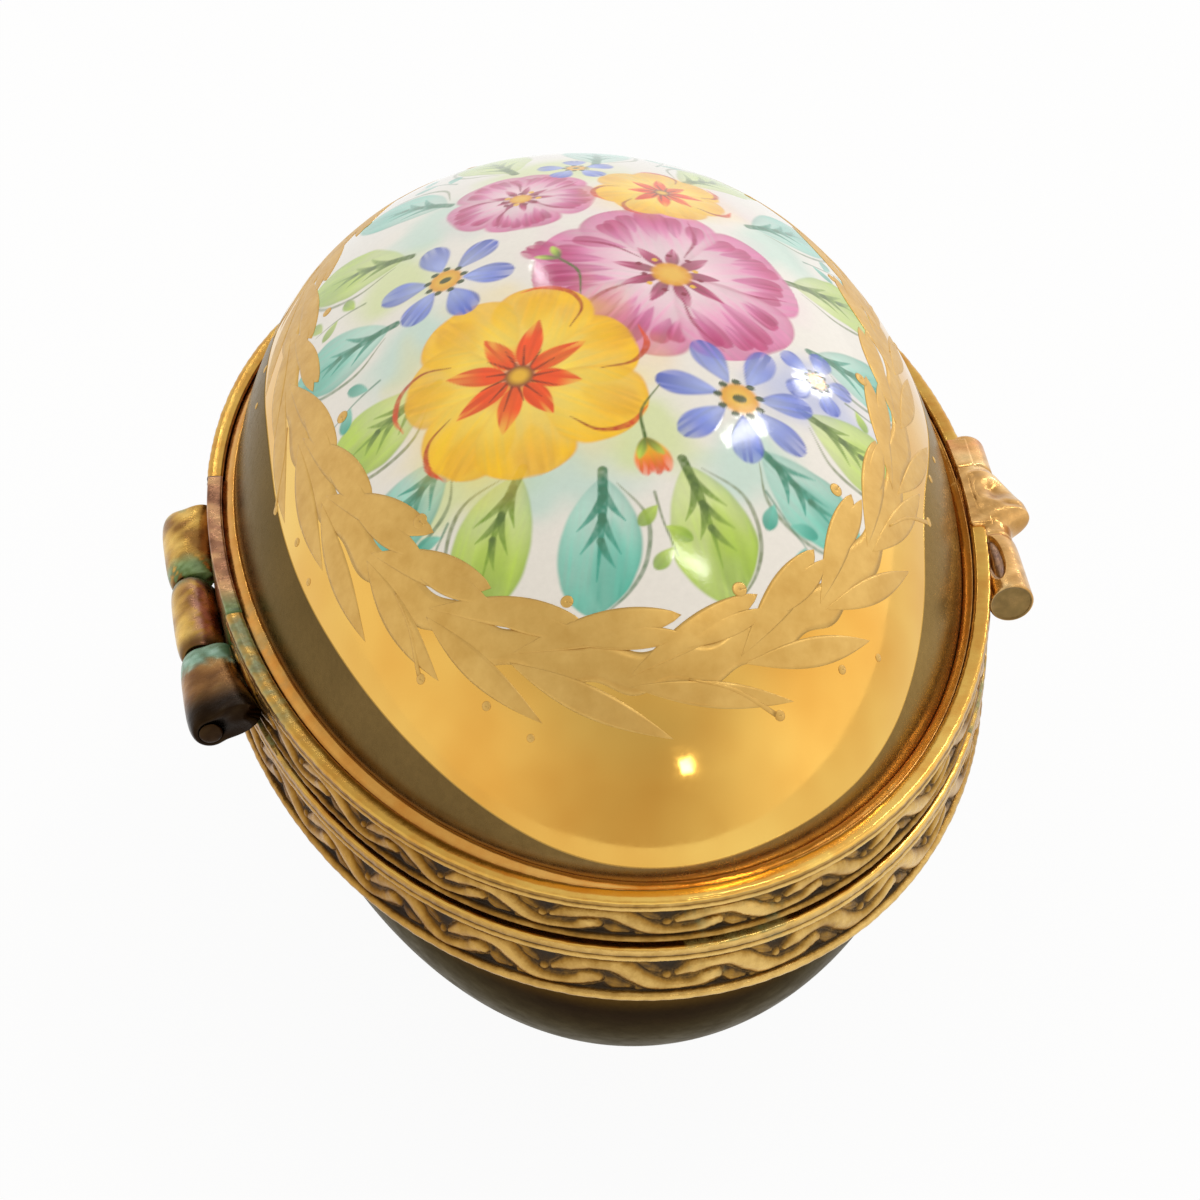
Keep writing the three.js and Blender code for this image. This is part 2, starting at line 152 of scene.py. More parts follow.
def on_rim(angles, offsets, heights):
    """Rows of points round the rim: offsets and heights are one number a row, or a full grid."""
    offsets = np.asarray(offsets, float)
    heights = np.asarray(heights, float)
    if offsets.ndim == 1:
        offsets = offsets[:, None]
    if heights.ndim == 1:
        heights = heights[:, None]
    x, y = outline(angles[None, :], offsets)
    return raised(x, y, heights)


def on_shell(angles, slopes, rise, inset=0.0):
    """Rows of points on a shell's face, from slopes in radians above the seam."""
    x, y = outline(angles[None, :], -inset)
    slopes = np.asarray(slopes, float)
    if slopes.ndim == 1:
        slopes = slopes[:, None]
    height = rise - math.copysign(inset, rise)
    flat = np.cos(slopes)
    return np.stack([x * flat, y * flat, height * np.sin(slopes) + 0 * x], -1)


def even_angles(start, end, count, closed=False):
    """Angles between two others, evenly spaced by length along the outline."""
    fine = np.linspace(start, end, 4001)
    x, y = outline(fine, BAND_OUTER)
    length = run(np.hypot(np.diff(x), np.diff(y)))
    wanted = np.linspace(0, length[-1], count + 1 if closed else count)
    angles = np.interp(wanted, length, fine)
    lengths = wanted[:-1] if closed else wanted
    return (angles[:-1] if closed else angles), lengths


def grid_faces(rows, columns, wrap_rows=False, wrap_columns=False):
    r, c = np.meshgrid(
        np.arange(rows if wrap_rows else rows - 1),
        np.arange(columns if wrap_columns else columns - 1),
        indexing="ij",
    )
    r2, c2 = (r + 1) % rows, (c + 1) % columns
    corners = [r * columns + c, r * columns + c2, r2 * columns + c2, r2 * columns + c]
    return np.stack(corners, -1).reshape(-1, 4)


def faces_out(points, faces):
    """Turns the faces so that they look away from the middle."""
    a, b, c, d = (points[faces[:, i]] for i in range(4))
    volume = (a * np.cross(b, c)).sum() + (a * np.cross(c, d)).sum()
    return faces if volume > 0 else faces[:, ::-1]


def in_scene(name, data):
    """An object with this data, linked into the scene."""
    thing = bpy.data.objects.new(name, data)
    bpy.context.scene.collection.objects.link(thing)
    return thing


WELD_DISTANCE = 1e-7


def remove_doubles(mesh):
    work = bmesh.new()
    work.from_mesh(mesh)
    bmesh.ops.remove_doubles(work, verts=work.verts, dist=WELD_DISTANCE)
    work.to_mesh(mesh)
    work.free()


def add_piece(name, points, faces, body, slot, material, replaces=(), layers=None, weld=False):
    """Makes a mesh piece that rides on a body. Points are in metres in the model's frame."""
    mesh = bpy.data.meshes.new(name)
    mesh.from_pydata(points, [], faces)
    for layer, values in (layers or {}).items():
        values = np.asarray(values, np.float32)
        kind = "FLOAT_COLOR" if values.ndim == 2 else "FLOAT"
        data = mesh.attributes.new(layer, kind, "POINT").data
        data.foreach_set("color" if values.ndim == 2 else "value", values.ravel())
    if weld:
        remove_doubles(mesh)
    mesh.shade_smooth()
    mesh.materials.append(material)
    piece = in_scene(name, mesh)
    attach(piece, body)
    if replaces:
        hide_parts(*replaces)
    return piece


def add_rows(name, rows, body, slot, material, wrap_rows=False, **more):
    """A piece from a grid of points in the egg's millimetres."""
    points = rows.reshape(-1, 3)
    faces = grid_faces(rows.shape[0], rows.shape[1], wrap_rows, wrap_columns=True)
    return add_piece(name, placed(points), faces_out(points, faces), body, slot, material, **more)


def soften(corners, radius, steps, closed=True):
    """Rounds the corners of a section."""
    corners = [np.array(c, float) for c in corners]
    count = len(corners)
    result = []
    for i, corner in enumerate(corners):
        if not closed and i in (0, count - 1):
            result.append(corner)
            continue
        to_last = corners[i - 1] - corner
        to_next = corners[(i + 1) % count] - corner
        reach = min(radius, np.linalg.norm(to_last) / 2, np.linalg.norm(to_next) / 2)
        first = corner + to_last / np.linalg.norm(to_last) * reach
        last = corner + to_next / np.linalg.norm(to_next) * reach
        for t in np.linspace(0, 1, steps + 1):
            result.append((1 - t) ** 2 * first + 2 * t * (1 - t) * corner + t * t * last)
    return np.array(result)


def turned(profile, origin, axis, sides):
    """A turned form: a profile of (radius, along) spun round an axis. Gives rows of points."""
    axis = np.asarray(axis, float) / np.linalg.norm(axis)
    across = np.cross(axis, [0.0, 0.0, 1.0])
    if np.linalg.norm(across) < 1e-6:
        across = np.array([1.0, 0.0, 0.0])
    across /= np.linalg.norm(across)
    up = np.cross(across, axis)
    turn = full_turn(sides)
    round_way = np.cos(turn)[:, None] * across + np.sin(turn)[:, None] * up
    profile = np.asarray(profile, float)
    return origin + profile[:, None, :1] * round_way[None] + profile[:, None, 1:] * axis


# Shaders and tones

def linear(red, green, blue):
    """A colour as seen on a screen, 0 to 255, as a linear colour."""
    parts = [c / 255 for c in (red, green, blue)]
    return tuple(c / 12.92 if c <= 0.04045 else ((c + 0.055) / 1.055) ** 2.4 for c in parts) + (1,)


def eased(value, low, high):
    """Rises smoothly from 0 to 1 between two values."""
    t = np.clip((value - low) / (high - low), 0, 1)
    return t * t * (3 - 2 * t)


def bulge(value, centre, reach):
    """A smooth bump round a centre."""
    return np.exp(-(((value - centre) / reach) ** 2))


def blended(first, second, share):
    share = np.clip(share, 0, 1)[..., None]
    return np.asarray(first) * (1 - share) + np.asarray(second) * share


GRAIN_SIZE = 64
GRAIN_SEED = 5
grain_table = np.random.default_rng(GRAIN_SEED).random((GRAIN_SIZE, GRAIN_SIZE))


def grain(x, y):
    """Smooth random values over a plane, between 0 and 1."""
    column, row = np.floor(x).astype(int), np.floor(y).astype(int)
    s, t = x - column, y - row
    s, t = s * s * (3 - 2 * s), t * t * (3 - 2 * t)
    c0, c1, r0, r1 = column % GRAIN_SIZE, (column + 1) % GRAIN_SIZE, row % GRAIN_SIZE, (row + 1) % GRAIN_SIZE
    low = grain_table[r0, c0] * (1 - s) + grain_table[r0, c1] * s
    high = grain_table[r1, c0] * (1 - s) + grain_table[r1, c1] * s
    return low * (1 - t) + high * t


def mottle(points, scale):
    """Smooth blotches over points in space, between 0 and 1."""
    x, y, z = (points[..., i] * scale for i in range(3))
    coarse = grain(x + 0.7 * y + 7, z - 0.4 * y + 3)
    fine = grain(2.3 * (x - y) + 1, 2.3 * (z + 0.6 * y) + 11)
    return 0.6 * coarse + 0.4 * fine


def shades(value, stops):
    """Colours along a scale of stops."""
    places = [place for place, _ in stops]
    colors = np.array([linear(*shade) for _, shade in stops])
    return np.stack([np.interp(value, places, colors[:, i]) for i in range(4)], -1)


def as_color(shade):
    """A linear colour from a grey level, from a colour as seen on a screen, or as it is."""
    if not isinstance(shade, tuple):
        return (shade, shade, shade, 1)
    return linear(*shade) if len(shade) == 3 else shade


class Nodes:
    """A node tree whose nodes are made, set and linked in one call each."""

    def __init__(self, tree):
        self.tree = tree

    def node(self, kind, inputs=None, **settings):
        node = self.tree.nodes.new(kind)
        for key, value in settings.items():
            setattr(node, key, value)
        for socket, value in (inputs or {}).items():
            if isinstance(value, bpy.types.NodeSocket):
                self.tree.links.new(value, node.inputs[socket])
            else:
                node.inputs[socket].default_value = value
        return node

    def ramp(self, factor, stops):
        """A scale of stops, each a place with a colour or a grey."""
        node = self.node("ShaderNodeValToRGB", {"Fac": factor})
        elements = node.color_ramp.elements
        while len(elements) < len(stops):
            elements.new(1.0)
        for element, (position, color) in zip(elements, stops):
            element.position = position
            element.color = as_color(color)
        return node.outputs["Color"]

    def mix(self, factor, first, second, blend="MIX"):
        inputs = {0: factor, 6: first, 7: second}
        return self.node("ShaderNodeMix", inputs, data_type="RGBA", blend_type=blend).outputs[2]

    def math(self, operation, first, second, clamp=False):
        inputs = {0: first, 1: second}
        return self.node("ShaderNodeMath", inputs, operation=operation, use_clamp=clamp).outputs[0]


class Look(Nodes):
    """A material with its nodes within easy reach."""

    def __init__(self, name, color, metallic=0.0, roughness=0.5, **more):
        self.material = bpy.data.materials.new(name)
        self.material.use_nodes = True
        super().__init__(self.material.node_tree)
        self.shader = self.tree.nodes["Principled BSDF"]
        settings = {"Base Color": color, "Metallic": metallic, "Roughness": roughness}
        settings.update({key.replace("_", " "): value for key, value in more.items()})
        for socket, value in settings.items():
            self.shader.inputs[socket].default_value = value

    def link(self, output, socket):
        self.tree.links.new(output, self.shader.inputs[socket])

    def place(self, stretch=(1, 1, 1)):
        """The place on the object in millimetres, stretched."""
        where = self.node("ShaderNodeTexCoord").outputs["Object"]
        scale = tuple(s / MM for s in stretch)
        return self.node("ShaderNodeMapping", {"Vector": where, "Scale": scale}).outputs["Vector"]

    def noise(self, scale, detail, rough=0.55, vector=None):
        """Noise whose scale is in cycles a millimetre."""
        source = vector or self.place()
        inputs = {"Vector": source, "Scale": scale, "Detail": detail, "Roughness": rough}
        return self.node("ShaderNodeTexNoise", inputs).outputs["Fac"]

    def cloud(self, scale, detail, *stops, rough=0.55):
        """Noise read through a scale of stops."""
        return self.ramp(self.noise(scale, detail, rough), stops)

    def layer(self, name, output="Fac"):
        return self.node("ShaderNodeAttribute", attribute_name=name).outputs[output]

    def bump(self, height, distance, after=None):
        inputs = {"Height": height, "Distance": distance * MM, "Strength": 1.0}
        if after is not None:
            inputs["Normal"] = after
        return self.node("ShaderNodeBump", inputs).outputs["Normal"]


GLAZE_WHITE = linear(236, 231, 222)
LUSTRE_GOLD = linear(232, 184, 92)
MATT_GOLD = linear(216, 174, 98)
# A dark tone for the lid's edge band, which is a painted reflection of dark surroundings
EDGE_PAINTED_REFLECTION = linear(104, 90, 68)
BRASS = linear(228, 186, 98)


def glaze_look():
    look = Look("porcelain_glaze", GLAZE_WHITE, roughness=0.07, Coat_Weight=0.1, Coat_Roughness=0.03)
    warmth = look.noise(0.05, 3)
    look.link(look.ramp(warmth, [(0.35, (232, 228, 220)), (0.7, GLAZE_WHITE)]), "Base Color")
    look.link(look.bump(look.noise(0.25, 2), 0.03), "Normal")
    look.link(look.cloud(0.4, 3, (0.3, 0.05), (0.8, 0.1)), "Roughness")
    return look.material


def enamel_look():
    """Glaze with enamel on it: the brush left the colours, and where it did the gloss is a little softer."""
    look = Look("painted_enamel", GLAZE_WHITE, roughness=0.1, Coat_Weight=0.1, Coat_Roughness=0.03)
    streak = look.cloud(3.0, 5, (0.3, 0.97), (0.7, 1.02), rough=0.65)
    look.link(look.mix(1.0, look.layer("paint", "Color"), streak, "MULTIPLY"), "Base Color")
    painted = look.layer("body")
    rough = look.math("MULTIPLY", painted, look.cloud(1.5, 4, (0.3, 0.05), (0.8, 0.16)))
    look.link(look.math("ADD", rough, 0.06), "Roughness")
    ripple = look.bump(look.noise(0.25, 2), 0.03)
    look.link(look.bump(look.math("MULTIPLY", painted, look.noise(5.0, 3)), 0.004, after=ripple), "Normal")
    return look.material


def lustre_look():
    look = Look("gold_lustre", LUSTRE_GOLD, metallic=1.0, roughness=0.08)
    tone = look.noise(0.09, 3)
    look.link(look.ramp(tone, [(0.3, (222, 164, 72)), (0.7, (242, 200, 104))]), "Base Color")
    look.link(look.cloud(0.9, 5, (0.35, 0.05), (0.75, 0.16), rough=0.7), "Roughness")
    look.link(look.bump(look.noise(0.16, 2), 0.05), "Normal")
    return look.material


def matt_gold_look():
    look = Look("matt_gold", MATT_GOLD, metallic=0.9, roughness=0.42)
    tone = look.noise(0.7, 5, 0.6)
    look.link(look.ramp(tone, [(0.3, (206, 163, 86)), (0.75, (224, 184, 106))]), "Base Color")
    look.link(look.cloud(3.0, 5, (0.3, 0.34), (0.8, 0.55), rough=0.7), "Roughness")
    look.link(look.bump(look.noise(4.0, 3), 0.003), "Normal")
    return look.material


def edge_painted_reflection_look():
    """The lid's edge band, painted dark as a painted reflection of dark surroundings: greyer to the left and
    golden to the right, bare gold at both borders.
    """
    sheen = (0.7, 0.64, 0.54, 1)
    look = Look("painted_dark_edge_reflection", EDGE_PAINTED_REFLECTION, metallic=0.95, roughness=0.14, Specular_Tint=sheen)
    tone = look.noise(0.12, 4)
    grey = look.ramp(tone, [(0.3, (96, 76, 42)), (0.75, (118, 94, 54))])
    golden = look.ramp(tone, [(0.3, (138, 108, 60)), (0.75, (158, 128, 74))])
    split = look.node("ShaderNodeSeparateXYZ", {"Vector": look.place((0.03, 1, 1))})
    side = look.math("ADD", split.outputs["X"], 0.45, clamp=True)
    specks = look.cloud(2.6, 6, (0.3, 0.88), (0.7, 1.08), rough=0.75)
    painted_reflection_color = look.mix(1.0, look.mix(side, grey, golden), specks, "MULTIPLY")
    # Painted lighter near its foot: painted light set against the dark reflection and shade beside the lip
    foot = look.math("MULTIPLY", look.layer("above_foot"), 0.5)
    painted_reflection_color = look.mix(look.ramp(foot, [(0.3, 0.75), (0.85, 0.0)]), painted_reflection_color, linear(188, 160, 112))
    top = look.ramp(look.layer("below_top"), [(0.0, 1.0), (0.1, 0.0)])
    look.link(look.mix(top, painted_reflection_color, LUSTRE_GOLD), "Base Color")
    look.link(look.cloud(2.0, 6, (0.3, 0.2), (0.8, 0.34), rough=0.75), "Roughness")
    look.link(look.bump(look.noise(0.16, 2), 0.03), "Normal")
    return look.material


def underside_painted_shade_look():
    """The underside: a satin lustre that hardly mirrors, painted very dark as painted shade and dark
    reflection, with a painted warm reflection of the band close to it.
    """
    sheen = (0.49, 0.44, 0.33, 1)
    look = Look("underside_painted_shade", linear(60, 48, 34), metallic=0.9, roughness=0.36, Specular_Tint=sheen)
    look.shader.inputs["Specular IOR Level"].default_value = 0.1
    tone = look.noise(0.1, 4)
    base = look.ramp(tone, [(0.3, (31, 28, 25)), (0.75, (46, 41, 36))])
    # Near the band the underside takes a painted warm reflection of the band
    base = look.mix(look.layer("band_reflection_share"), base, linear(158, 116, 60))
    specks = look.cloud(3.2, 6, (0.32, 0.82), (0.7, 1.16), rough=0.8)
    look.link(look.mix(1.0, base, specks, "MULTIPLY"), "Base Color")
    look.link(look.cloud(0.9, 5, (0.3, 0.28), (0.8, 0.44), rough=0.7), "Roughness")
    look.link(look.bump(look.noise(0.3, 2), 0.03), "Normal")
    return look.material


def relief_look():
    """Cast brass with painted light: painted highlight on what stands proud, painted shade in the hollows,
    which here and there are green.
    """
    look = Look("cast_brass", BRASS, metallic=1.0, roughness=0.35)
    height = look.layer("relief")
    grime = look.noise(1.1, 6, 0.65)
    # The relief height, broken up by grime, sets the painted shade and highlight in the colour as well as the
    # metal and gloss
    worn = look.math("ADD", height, look.math("MULTIPLY", look.math("SUBTRACT", grime, 0.5), 0.75))
    color = look.ramp(worn, [
        (0.0, (54, 40, 20)),
        (0.22, (78, 58, 28)),
        (0.55, (168, 128, 60)),
        (0.95, (232, 194, 116)),
    ])
    patch = look.cloud(0.35, 5, (0.56, 0.0), (0.66, 1.0), rough=0.6)
    green = look.math("MULTIPLY", patch, look.layer("verdigris"), clamp=True)
    green = look.math("MULTIPLY", green, look.ramp(height, [(0.3, 1.0), (0.95, 0.25)]), clamp=True)
    tint = look.cloud(1.4, 4, (0.35, (56, 74, 44)), (0.7, (108, 134, 98)))
    dulled = look.mix(look.layer("age"), color, linear(206, 188, 156), "MULTIPLY")
    look.link(look.mix(green, dulled, tint), "Base Color")
    bare = look.math("SUBTRACT", 1.0, green, clamp=True)
    look.link(look.math("MULTIPLY", bare, look.ramp(worn, [(0.1, 0.35), (0.5, 1.0)])), "Metallic")
    look.link(look.ramp(worn, [(0.1, 0.65), (0.5, 0.4), (0.95, 0.27)]), "Roughness")
    fine = look.bump(look.noise(9.0, 4), 0.006)
    look.link(look.bump(look.noise(2.5, 4), 0.055, after=fine), "Normal")
    return look.material


def polished_look():
    """Wrought brass with faint tool marks across the rim and a red-brown line where it meets the band."""
    look = Look("polished_brass", BRASS, metallic=1.0, roughness=0.2)
    groove = look.layer("groove")
    tone = look.noise(0.6, 5, 0.6)
    base = look.ramp(tone, [(0.3, (236, 178, 84)), (0.6, (250, 208, 110))])
    lip = look.ramp(tone, [(0.3, (242, 172, 84)), (0.6, (252, 196, 108))])
    base = look.mix(look.layer("warm"), base, lip)
    broken = look.math("MULTIPLY", groove, look.cloud(1.6, 5, (0.34, 0.35), (0.52, 1.0), rough=0.7))
    color = look.mix(broken, base, linear(126, 58, 20))
    color = look.mix(look.layer("age"), color, linear(214, 204, 186), "MULTIPLY")
    damp = look.layer("verdigris")
    patch = look.math("ADD", look.noise(0.7, 5, 0.6), look.math("MULTIPLY", damp, 0.2))
    patch = look.ramp(patch, [(0.5, 0.0), (0.76, 0.9)])
    green = look.math("MULTIPLY", patch, look.math("MULTIPLY", damp, 1.6, clamp=True), clamp=True)
    tint = look.cloud(2.6, 5, (0.35, (104, 104, 52)), (0.7, (142, 158, 112)))
    look.link(look.mix(green, color, tint), "Base Color")
    look.link(look.math("SUBTRACT", 1.0, green, clamp=True), "Metallic")
    look.link(look.cloud(1.8, 5, (0.3, 0.13), (0.75, 0.28), rough=0.7), "Roughness")
    place = look.node("ShaderNodeCombineXYZ", {"X": look.layer("along"), "Y": look.layer("across")})
    marks = look.noise(3.2, 3, 0.5, vector=place.outputs[0])
    look.link(look.bump(marks, 0.01), "Normal")
    return look.material


def tint_look(name, rough):
    """Brass whose aged colour, with painted shade on some pieces, is given point by point, bare metal where
    nothing covers it.
    """
    look = Look(name, BRASS, metallic=1.0, roughness=0.3)
    cloud = look.cloud(1.4, 6, (0.3, 0.8), (0.7, 1.12), rough=0.65)
    look.link(look.mix(1.0, look.layer("tint", "Color"), cloud, "MULTIPLY"), "Base Color")
    look.link(look.layer("bare"), "Metallic")
    look.link(look.ramp(look.noise(1.8, 5, 0.7), [(0.3, rough[0]), (0.75, rough[1])]), "Roughness")
    fine = look.bump(look.noise(8.0, 4), 0.005)
    look.link(look.bump(look.noise(1.2, 4), 0.04, after=fine), "Normal")
    return look.material


def stand_look():
    look = Look("stand_brass", BRASS, metallic=1.0, roughness=0.3)
    stops = [(0.3, (172, 128, 62)), (0.55, (204, 160, 86)), (0.75, (222, 182, 104))]
    look.link(look.ramp(look.noise(0.5, 6, 0.6), stops), "Base Color")
    look.link(look.cloud(1.8, 5, (0.3, 0.22), (0.75, 0.42), rough=0.7), "Roughness")
    fine = look.bump(look.noise(8.0, 4), 0.008)
    look.link(look.bump(look.noise(1.2, 4), 0.05, after=fine), "Normal")
    return look.material


def plaster_look():
    look = Look("plaster_bed", linear(216, 208, 190), roughness=0.9)
    look.link(look.cloud(2.0, 5, (0.3, (198, 190, 170)), (0.8, (226, 220, 206))), "Base Color")
    look.link(look.bump(look.noise(6.0, 4), 0.03), "Normal")
    return look.material


glaze = glaze_look()
enamel = enamel_look()
lustre = lustre_look()
matt_gold = matt_gold_look()
edge_reflection_paint = edge_painted_reflection_look()
underside_paint = underside_painted_shade_look()
cast_brass = relief_look()
polished = polished_look()
tinted_metal = tint_look("tinted_brass", (0.2, 0.4))
cast_clasp = tint_look("clasp_brass", (0.16, 0.32))
stand_brass = stand_look()


# Shells

ROUND_SHELL = 300
OUTER_STEPS = 80
INNER_STEPS = 48
EDGE_STEPS = 6
# The base is cut in two pieces at this row, a little way into its plain edge
BASE_CUT_ROW = OUTER_STEPS + 2
# How strong the painted reflection of the band is on the underside, and the height where it has faded out
BAND_REFLECTION_STRENGTH = 0.6
BAND_REFLECTION_BOTTOM = -7.5


def shell_rows(rise):
    """The outer face from the pole down, the plain edge, then the inner face back up to its pole."""
    angles = full_turn(ROUND_SHELL)
    height = abs(rise)
    outer_low = math.asin(SHELL_EDGE / height)
    inner_low = math.asin(SHELL_EDGE / (height - SHELL_WALL))
    outer = on_shell(angles, np.linspace(math.pi / 2, outer_low, OUTER_STEPS), rise) * GLAZE_SHARE
    inner = on_shell(angles, np.linspace(inner_low, math.pi / 2, INNER_STEPS), rise, SHELL_WALL)
    edge = np.linspace(outer[-1], inner[0], EDGE_STEPS)[1:-1]
    return np.concatenate([outer, edge, inner])


add_rows(
    "lid_glaze", shell_rows(LID_RISE), "lid", "painted_porcelain", glaze,
    replaces=["lid_shell"], weld=True,
)

base_rows = shell_rows(-BASE_DEPTH)
# The painted reflection of the band, fading out towards the bottom
painted_band_reflection = BAND_REFLECTION_STRENGTH * eased(base_rows[:BASE_CUT_ROW, :, 2], BAND_REFLECTION_BOTTOM, BASE_BAND_BOTTOM)
add_rows(
    "base_lustre", base_rows[:BASE_CUT_ROW], "base", "gilded_porcelain", underside_paint,
    replaces=["base_shell"], weld=True, layers={"band_reflection_share": painted_band_reflection.ravel()},
)
add_rows("base_inside", base_rows[BASE_CUT_ROW - 1:], "base", "painted_porcelain", glaze, weld=True)


# Collars: a flange under the shell's edge, a wall round it, and a lip burnished onto the shell

ROUND_COLLAR = 900
LIP_OUTER = 0.3
LIP_CROWN = 0.09
LIP_DROP = 0.26
LIP_STEPS = 9
LIP_THICKNESS = 0.07
LIP_SUNK = 0.04
# Tables by angle are smoothed this far both ways, in degrees
SMOOTHING = 6
# Tool marks run across the rim: the way across counts for this share, which draws them out
MARK_STRETCH = 0.2
# How high above the seam the lid's lip meets the shell, by the angle round the egg, in degrees
LIP_LINE = (
    (-180, 3.1), (-155, 3.1), (-135, 3.05), (-115, 2.95), (-105, 2.8), (-95, 2.65), (-85, 2.6), (-60, 2.6),
    (-48, 2.48), (-35, 2.34), (0, 2.3), (40, 2.4), (90, 2.6), (130, 3.0), (180, 3.1),
)


def by_angle(table, angles):
    """A value read from a table of (degrees, value), smoothed along the way round."""
    places, values = zip(*table)
    around = np.degrees(angles)[None] + np.linspace(-SMOOTHING, SMOOTHING, 2 * SMOOTHING + 1)[:, None]
    return np.interp((around + 180) % 360 - 180, places, values).mean(0)


def shell_reach(angles, heights, rise):
    """The points of the shell's face at a height for each angle."""
    return on_shell(angles, np.arcsin(heights / rise)[None], rise)[0] * GLAZE_SHARE


def collar_rows(sign, band_top):
    angles, lengths = even_angles(0, 2 * math.pi, ROUND_COLLAR, closed=True)
    rise = LID_RISE if sign > 0 else -BASE_DEPTH
    rim_height = band_top - LIP_DROP
    seat_heights = by_angle(LIP_LINE, angles) + band_top - LID_BAND_TOP
    seat = shell_reach(angles, sign * (seat_heights - LIP_SUNK), rise)
    rim = on_rim(angles, [LIP_OUTER], [sign * rim_height])[0]
    wander = 0.02 * np.sin(lengths * 2.1) + 0.015 * np.sin(lengths * 5.3 + 1)
    lip = []
    for share in np.linspace(0, 1, LIP_STEPS):
        across = seat * (1 - share) + rim * share
        arch = LIP_CROWN * math.sin(math.pi * min(1.0, share * 1.15) ** 0.8) * (1 + wander * 4)
        across[:, 2] += sign * arch
        lip.append(across)
    lip_foot = rim_height - LIP_THICKNESS
    under_lip = on_rim(angles, [LIP_OUTER + 0.02, COLLAR_OUTER], [sign * lip_foot] * 2)
    wall = on_rim(angles, [COLLAR_OUTER] * 3, sign * np.array([lip_foot, band_top / 2, SEAM + 0.05]))
    flange_corners = [(COLLAR_OUTER, SEAM), (FLANGE_INNER, SEAM), (FLANGE_INNER, FLANGE_TOP), (0, FLANGE_TOP)]
    flange = soften(flange_corners, 0.08, 3, closed=False)
    base = on_rim(angles, flange[:, 0], sign * flange[:, 1])
    inside = on_rim(angles, [0.0, 0.0], sign * np.array([FLANGE_TOP + 0.05, band_top * 0.6]))
    rows = np.concatenate([np.array(lip), under_lip, wall[1:], base, inside])
    return rows, angles, lengths


def collar(name, sign, band_top, body):
    rows, angles, lengths = collar_rows(sign, band_top)
    count = rows.shape[0]
    across = run(np.linalg.norm(np.diff(rows[:, 0], axis=0), axis=1))
    groove = np.zeros(rows.shape[:2])
    groove[LIP_STEPS:LIP_STEPS + 3] = 1.0
    groove[LIP_STEPS - 1] = 0.6
    groove[LIP_STEPS - 2] = 0.2
    along = np.repeat(lengths[None], count, 0)
    layers = {
        "along": along.ravel(),
        "across": np.repeat(across[:, None], ROUND_COLLAR, 1).ravel() * MARK_STRETCH,
        "groove": groove.ravel(),
        "verdigris": near_hinge(rows, 0.3).ravel(),
        "age": aged(rows).ravel(),
        "warm": np.ones(groove.size),
    }
    add_rows(
        f"{name}_burnished", rows, body, "gilded_brass", polished, wrap_rows=True,
        replaces=[name], layers=layers,
    )


def near_hinge(rows, strength):
    """How green the brass has gone: most beside and in front of the hinge."""
    x, y = rows[..., 0], rows[..., 1]
    return np.clip(strength * bulge(y, -9.5, 6.0) * (x < 0), 0, 1)


def aged(rows):
    """How far the brass has dulled: least in front, where it is handled most."""
    angle = np.degrees(np.arctan2(rows[..., 1] / HALF_LENGTH, rows[..., 0] / HALF_WIDTH))
    left = eased(-angle, 84, 140) + (angle > 90)
    right = eased(angle, -58, -15)
    return np.clip(0.12 + np.where(angle > -70, right, left), 0, 1)


collar("lid_collar", 1, LID_BAND_TOP, "lid")
collar("base_collar", -1, -BASE_BAND_BOTTOM, "base")


# Vine relief: one stretch of it is drawn as a height map, then repeated round each band

TILE_LENGTH = 5.7
TILE_FIELD = 1.7
TILE_STEPS = (72, 248)
RELIEF_DEPTH = 0.45
EDGE_LINE = 0.05
STRAND_FULLNESS = 1.36
SKIRT_HEIGHT = 0.4
SKIRT_REACH = 0.13
VEIN_REACH = 0.06


def curve_through(points, count):
    """A smooth curve through given points."""
    points = np.array(points, float)
    padded = np.vstack([2 * points[0] - points[1], points, 2 * points[-1] - points[-2]])
    steps = np.linspace(0, len(points) - 1.0001, count)
    index = steps.astype(int)
    t = (steps - index)[:, None]
    a, b, c, d = (padded[index + k] for k in range(4))
    squared = (2 * a - 5 * b + 4 * c - d) * t ** 2
    cubed = (3 * b - a - 3 * c + d) * t ** 3
    return 0.5 * (2 * b + (c - a) * t + squared + cubed)


def raise_strand(tile, points, radii, peak, vein):
    """Raises a round-backed strand on the tile and cuts a fine line along it where it meets others."""
    spine = curve_through(points, 60)
    width = np.interp(np.linspace(0, 1, len(spine)), np.linspace(0, 1, len(radii)), radii) * STRAND_FULLNESS
    across = np.linspace(0, TILE_FIELD, TILE_STEPS[0])[:, None]
    along = np.linspace(0, TILE_LENGTH, TILE_STEPS[1], endpoint=False)[None]
    for shift in (-2 * TILE_LENGTH, -TILE_LENGTH, 0, TILE_LENGTH):
        distance = np.hypot(
            along[..., None] - spine[:, 0] - shift,
            across[..., None] - spine[:, 1],
        )
        nearest = (distance / width).argmin(-1)
        distance = np.take_along_axis(distance, nearest[..., None], -1)[..., 0]
        radius = width[nearest]
        height = peak * (0.68 + 0.32 * radius / width.max())
        round_back = height * np.sqrt(np.clip(1 - (distance / radius) ** 2, 0, 1))
        round_back -= vein * bulge(distance, 0, VEIN_REACH) * (radius > 0.15)
        inside = distance < radius
        beside = (distance >= radius) & (distance < radius + EDGE_LINE)
        tile[beside] *= 0.2
        skirt = SKIRT_HEIGHT * peak * bulge(distance, radius, SKIRT_REACH) * (radius > 0.1)
        tile[~inside] = np.maximum(tile, skirt)[~inside]
        tile[inside] = np.maximum(tile[inside] * 0.3, round_back[inside])


